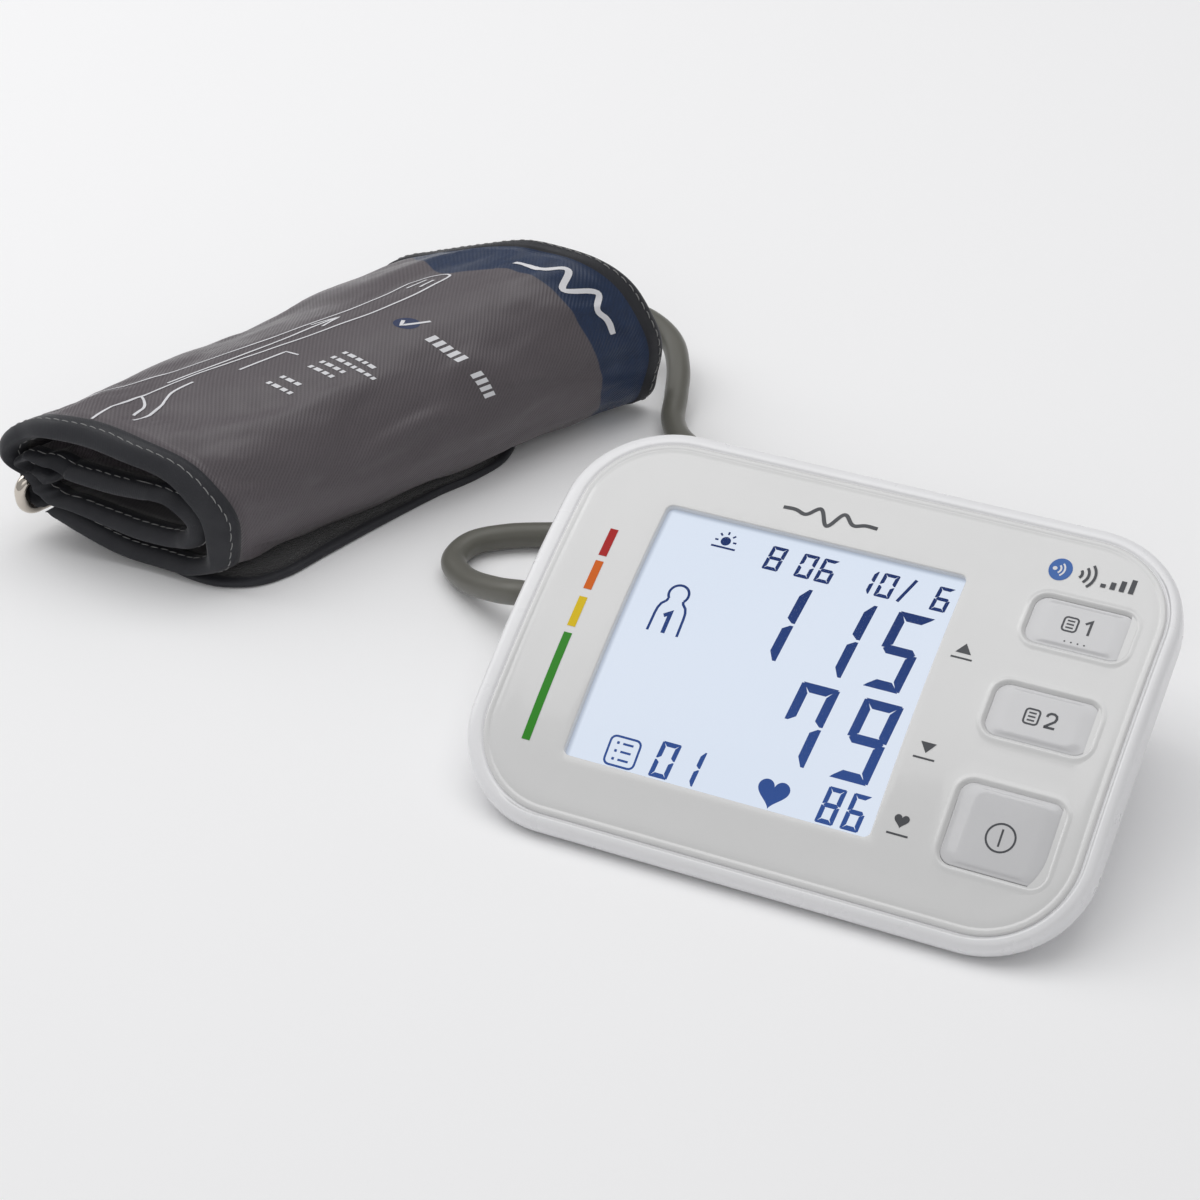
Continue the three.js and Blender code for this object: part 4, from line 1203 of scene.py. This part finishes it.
def cloth_on(sheet):
    """Puffs and puckers the outer face between its bound edges, as inflated cloth."""
    count = len(STATIONS)
    rest = [v.co.copy() for v in sheet.data.vertices]
    held = sheet.vertex_groups.new(name="held")
    limit = []
    for v in sheet.data.vertices:
        y, share, kind = STATIONS[v.index % count]
        turn = mix(START, TURNS, (v.index // count) / COLUMNS)
        free = 0.0
        if not kind and share < 0.5 and 0.1 < turn < 0.8:
            free = min(
                smooth(NEAR_NOSE + TAPE_BACK, NEAR_NOSE + 5, y),
                1 - smooth(FAR_NOSE - 5, FAR_NOSE - TAPE_BACK, y),
                smooth(0.1, 0.16, turn),
                1 - smooth(0.72, 0.8, turn),
            )
        limit.append(free)
        held.add([v.index], 1.0 - free, "REPLACE")
    cloth = sheet.modifiers.new("cloth", "CLOTH")
    for key, value in CLOTH.items():
        setattr(cloth.settings, key, value)
    cloth.settings.effector_weights.gravity = 0
    cloth.collision_settings.use_collision = False
    cloth.point_cache.frame_start = 1
    cloth.point_cache.frame_end = 24
    scene = bpy.context.scene
    for step in range(1, CLOTH_STEPS + 1):
        scene.frame_set(step)
    graph = bpy.context.evaluated_depsgraph_get()
    moved = [v.co.copy() for v in sheet.evaluated_get(graph).data.vertices]
    sheet.modifiers.remove(cloth)
    scene.frame_set(1)
    sheet.vertex_groups.remove(held)
    steps = [(end - start) * min(1.0, free * 1.5) for start, end, free in zip(rest, moved, limit)]
    for _ in range(SOFTENING):
        soft = []
        for i, step in enumerate(steps):
            near = [steps[j] for j in (i - count, i + count, i - 1, i + 1) if 0 <= j < len(steps)]
            soft.append(step * 0.4 + sum(near, Vector()) * (0.6 / len(near)) if limit[i] else step)
        steps = soft
    for v, start, step in zip(sheet.data.vertices, rest, steps):
        v.co = start + step * min(1.0, MOST_PUFF / max(step.length, 1e-9))


STITCH = 2.3
THREAD_RADIUS = 0.00015


def stitches():
    """Thread along each bound edge, on both faces of the sheet."""
    random.seed(7)
    shape = Shape()
    seams = [(y, share) for share in (0.0, 1.0) for y in (NEAR_NOSE + 0.4, FAR_NOSE - 0.2)]
    for y, share in seams:
        turn = START + 0.03
        while turn < TURNS - 0.04:
            here = sheet_point(turn, y, share)
            speed = (sheet_point(turn + 0.002, y, share) - here).length / 0.002
            length = STITCH / speed
            jog = random.uniform(-0.12, 0.12)
            line = []
            for k, sink in enumerate((0.3, 0.5, 0.53, 0.5, 0.3)):
                at = turn + length * k / 4
                p = sheet_point(at, y + jog + 0.12 * (k - 2) / 2, share, TAPE_RISE + sink - 0.48)
                line.append(lay(*p))
            shape.tube(line, THREAD_RADIUS, sides=5)
            turn += length * 1.12
    shape.piece("cuff_stitches", THREAD, slot="cuff_nylon")


TURN_LENGTH = 150
PRINT_RISE = 0.13
GUIDE_WIDTH = 0.42


def cloth_prints(sheet):
    """Printed marks, laid on the finished cloth."""
    graph = BVHTree.FromObject(sheet, bpy.context.evaluated_depsgraph_get())

    def place(turn, y, up):
        """The cloth above one place of the sheet, found by a ray from 5 mm outside it."""
        p = sheet_point(turn, y, 0.0)
        out = (sheet_point(turn, y, 0.0, 1.0) - p).normalized()
        start = lay(*(p + out * 5))
        hit = graph.ray_cast(start, -out)[0]
        if hit is None:
            return lay(*(p + out * up))
        return hit + out * up * 0.001

    def strokes(name, marks, material):
        ink = Shape()
        for points, width in marks:
            ends = [Vector((turn * TURN_LENGTH, y)) for turn, y in points]
            pts = []
            for a, b in zip(ends, ends[1:]):
                steps = max(1, int((b - a).length / 0.7))
                pts.extend(a.lerp(b, k / steps) for k in range(steps))
            pts.append(ends[-1])
            rows = []
            for share in (-1, -0.5, 0, 0.5, 1):
                row = []
                for i, p in enumerate(pts):
                    along = (pts[min(i + 1, len(pts) - 1)] - pts[max(i - 1, 0)]).normalized()
                    q = p + Vector((-along.y, along.x)) * width / 2 * share
                    row.append(place(q.x / TURN_LENGTH, q.y, PRINT_RISE))
                rows.append(row)
            ink.rings(rows, closed=False)
        ink.piece(name, material, slot="cuff_nylon")

    marks = []
    # a row of blocks round the roll, two short paragraphs, and a small check mark
    for first, count in ((0.447, 5), (0.372, 4)):
        for k in range(count):
            a = first - 0.0112 * k
            marks.append((((a, 69.6), (a - 0.007, 69.6)), 2.4))
    for row, (y, words) in enumerate(((55.2, 5), (52.7, 7), (50.2, 4), (47.7, 4), (41.6, 3), (38.6, 4))):
        a = 0.478
        for k in range(words):
            reach = 0.0045 + 0.002 * ((row * 3 + k * 5) % 3)
            marks.append((((a, y), (a - reach, y)), 1.0))
            a -= reach + 0.0028
    marks.append((((0.491, 70.6), (0.484, 68.9), (0.47, 73.4)), 0.6))
    # placing guide: the outline of an arm and a hand, a range bar, and an arrow along the arm
    arm = (
        (
            (0.53, 10.5), (0.545, 22), (0.55, 34), (0.545, 48), (0.537, 60), (0.533, 70), (0.536, 80),
            (0.545, 88),
        ),
        (
            (0.6, 12), (0.592, 24), (0.585, 36), (0.575, 50), (0.57, 62), (0.568, 72), (0.57, 80),
            (0.578, 86),
        ),
        ((0.5, 14), (0.506, 19), (0.512, 22), (0.52, 24), (0.53, 27), (0.533, 32)),
        ((0.512, 16), (0.52, 19.5), (0.535, 22), (0.545, 23)),
        ((0.545, 88), (0.552, 91), (0.562, 91.5), (0.572, 90), (0.578, 86)),
        ((0.551, 84), (0.556, 88)), ((0.563, 83), (0.566, 88)),
    )
    for line in arm:
        curve = through([(turn * TURN_LENGTH, y, 0) for turn, y in line], steps=5)
        marks.append(([(p.x / TURN_LENGTH, p.y) for p in curve], GUIDE_WIDTH))
    marks.append((((0.556, 30), (0.556, 66)), GUIDE_WIDTH))
    marks.append((((0.548, 62), (0.556, 67), (0.564, 62)), GUIDE_WIDTH))
    marks.append((((0.522, 40), (0.522, 50), (0.506, 50)), GUIDE_WIDTH))
    strokes("cuff_print", marks, CLOTH_PRINT)
    beat = [(0.52 - 0.17 * k / 80, 100.8 + 2.6 * pulse_height(k / 80)) for k in range(81)]
    strokes("cuff_band_print", [(beat, 1.1)], CLOTH_PRINT)
    disc = Shape()
    angles = [k / 24 * 2 * math.pi for k in range(24)]
    rings = []
    for r in (2.1, 1.0):
        round_tick = [(0.484 + r * math.cos(a) / TURN_LENGTH, 70.2 + r * math.sin(a)) for a in angles]
        rings.append(disc.ring([place(turn, y, 0.05) for turn, y in round_tick]))
    disc.bridge(*rings)
    disc.cap(rings[1])
    disc.piece("cuff_tick_ground", NAVY_PRINT, slot="cuff_nylon")


def hook_flap():
    base = (
        (-201, 14), (-187, 11.4), (-172, 8.6), (-160, 6.0), (-152.5, 6.4), (-144.9, 9.9), (-139.8, 16),
        (-135.6, 26), (-128.4, 43), (-121.6, 58), (-116, 68), (-113, 78), (-118, 92),
        (-148, 96), (-162, 84), (-182, 48), (-197, 24),
    )
    line = through([(x, y, 0) for x, y in base], closed=True, steps=8)
    middle = sum(line, Vector()) / len(line)
    shape = Shape()

    def ring(inset, z):
        loop = []
        for p in line:
            inward = (middle - p).normalized()
            q = p + inward * inset
            swell = 0.25 * noise.noise(Vector((q.x * 0.12, q.y * 0.12, 3)))
            loop.append(lay(q.x, q.y, z + corner_lift(q.x, q.y) * 0.9 + (swell if z > 0.8 else 0)))
        return loop

    profile = (
        (6.0, 0.05), (0.5, 0.05), (0.1, 0.4), (0.0, 0.9), (0.15, 1.4), (0.6, 1.75), (1.4, 1.85),
        (2.6, 1.85), (2.9, 1.45), (3.2, 1.55), (5.0, 1.6), (9.0, 1.5), (14.0, 1.4), (22.0, 1.3),
    )
    made = shape.rings([ring(i, z) for i, z in profile])
    shape.cap(made[0])
    shape.cap(made[-1])
    flap = shape.piece(
        "cuff_hook_flap_visual", [PILE, TAPE], replaces=["cuff_hook_flap"], slot="cuff_lining"
    )
    count = len(line)
    for polygon in flap.data.polygons:
        rows = {v // count for v in polygon.vertices}
        if len(polygon.vertices) == 4 and max(rows) <= 8:
            polygon.material_index = 1
    set_uv(flap, [(v.co.x * 1000, v.co.y * 1000) for v in flap.data.vertices])


def bar_ring():
    """The nickel ring: a tall wire loop along the cuff's left edge."""
    start = Vector((-206.7, 7.0))
    end = Vector((-156.6, 112.0))
    along = (end - start).normalized()
    middle = (start + end) / 2 + Vector((0.6, -0.3))
    length = (end - start).length + 4
    low, high = 7.9, 16.3
    radius = 3.4
    half = length / 2 - 1.7
    path = round_rect(-half, half, low, high, radius, arc=8, side=6)
    line = []
    for s, z in path:
        p = middle + along * s
        line.append(lay(p.x, p.y, z))
    shape = Shape()
    shape.tube(line, 0.0017, sides=16, closed=True)
    shape.piece("cuff_bar_ring_visual", NICKEL, replaces=["cuff_bar_ring"], slot="nickel_ring")

    # the tail of the cuff, folded over the ring's upper bar
    normal = Vector((along.y, -along.x))
    profile = (
        (9.0, 20.4), (5.0, 21.0), (1.5, 20.4), (-1.6, 18.8), (-2.7, 16.0), (-2.4, 13.4), (-1.6, 11.6),
        (0.4, 10.6), (3.4, 10.8), (4.4, 9.4), (1.6, 8.6), (-1.6, 8.8),
    )
    fold = Shape()
    upper = through([(a, b, 0) for a, b in profile[:9]], steps=4)
    loops = []
    steps = 60
    reach = half - 1.2
    for k in range(steps + 1):
        s = mix(-reach, reach, k / steps)
        edge = min(1.0, min(k, steps - k) / 2.5)
        thick = 1.15 * math.sqrt(1 - (1 - edge) ** 2) + 0.05
        wave = 0.3 * math.sin(s * 0.21)
        outer, inner = [], []
        for i, p in enumerate(upper):
            before, after = upper[max(i - 1, 0)], upper[min(i + 1, len(upper) - 1)]
            step = (after - before).normalized()
            side = Vector((-step.y, step.x, 0))
            for sign, bucket in ((1, outer), (-1, inner)):
                q = p + side * thick * sign
                at = middle + along * s + normal * (q.x + 1.2 + wave * 0.3)
                bucket.append(lay(at.x, at.y, q.y + wave))
        loops.append(outer + inner[::-1])
    made = fold.rings(loops)
    fold.cap(made[0])
    fold.cap(made[-1])
    tail = fold.piece("cuff_tail_visual", TAPE, replaces=["cuff_tail_fold"], slot="cuff_nylon")
    set_uv(tail, [(v.co.x * 1000 + v.co.z * 1000, v.co.y * 1000) for v in tail.data.vertices])


CUFF = cuff_sheet()
cloth_on(CUFF)
stitches()
cloth_prints(CUFF)
hook_flap()
bar_ring()

# ---------------------------------------------------------------- carried-over nodes
def numbered(name, count=4):
    return [f"{name}_{k + 1}" for k in range(count)]


FINISHES = (
    (BASE_WHITE, ("lower_housing", "battery_door", "display_frame")),
    (STEEL, (*numbered("housing_screw"), "pump_motor", "battery_spring_strip", "valve_body")),
    (BRASS, ("battery_contact_strip", "valve_plunger")),
    (RUBBER, numbered("rubber_foot")),
    (CELL, numbered("battery_cell")),
    (BLACK, ("controller_chip", "pump_head", "pump_crank", "wireless_module", "pressure_sensor")),
    (BLACK, ("switch_memory_1", "switch_memory_2", "switch_start_stop")),
    (GREY, ("pump_cover", "pump_cradle", "air_socket", "air_manifold")),
    (SILICONE, ("pump_diaphragm", "air_line_socket", "air_line_pump", "air_line_valve")),
    (BOARD, ("main_board",)),
    (LIGHT_GUIDE, ("backlight_guide",)),
    (PINK_RUBBER, ("display_contact_strip",)),
)
for material, names in FINISHES:
    for name in names:
        for material_slot in NODES[name].material_slots:
            material_slot.material = material


# ---------------------------------------------------------------- stage
def floor():
    """A pale floor that curves up behind the object, in metres."""
    shape = Shape()
    size = 4.0
    rear = 2.0
    bend = 1.2
    angles = [k / 12 * math.pi / 2 for k in range(1, 13)]
    line = [(y, 0.0) for y in (-size, -1, 0, 1, rear)]
    line += [(rear + bend * math.sin(a), bend - bend * math.cos(a)) for a in angles]
    line += [(rear + bend, size)]
    loops = [[Vector((-size, y, z)), Vector((size, y, z))] for y, z in line]
    shape.rings(loops, closed=False)
    mesh = bpy.data.meshes.new("floor")
    mesh.from_pydata([tuple(v) for v in shape.verts], [], shape.faces)
    mesh.polygons.foreach_set("use_smooth", [True] * len(mesh.polygons))
    obj = bpy.data.objects.new("floor", mesh)
    bpy.context.scene.collection.objects.link(obj)
    look = Look("floor", srgb(250, 250, 251), 0.9)
    mesh.materials.append(look.material)


def area_light(name, where, target, size, power):
    data = bpy.data.lights.new(name, "AREA")
    data.shape = "RECTANGLE"
    data.size, data.size_y = size
    data.energy = power
    light = bpy.data.objects.new(name, data)
    light.location = where
    light.rotation_mode = "QUATERNION"
    light.rotation_quaternion = (Vector(target) - Vector(where)).to_track_quat("-Z", "Y")
    bpy.context.scene.collection.objects.link(light)


def light_scene():
    world = bpy.data.worlds.new("studio")
    world.use_nodes = True
    background = world.node_tree.nodes["Background"]
    background.inputs["Color"].default_value = (1.0, 1.0, 1.0, 1.0)
    background.inputs["Strength"].default_value = 0.42
    scene = bpy.context.scene
    scene.world = world
    scene.view_settings.view_transform = "Standard"
    area_light("top", (-0.1, 0.25, 1.1), (0, 0, 0), (1.3, 0.9), 5.6)
    area_light("left", (-1.0, 0.1, 0.7), (-0.05, 0, 0.02), (0.7, 0.9), 3.6)
    area_light("front", (0.4, -1.1, 0.8), (0, 0, 0.02), (0.9, 0.5), 1.0)


floor()
light_scene()
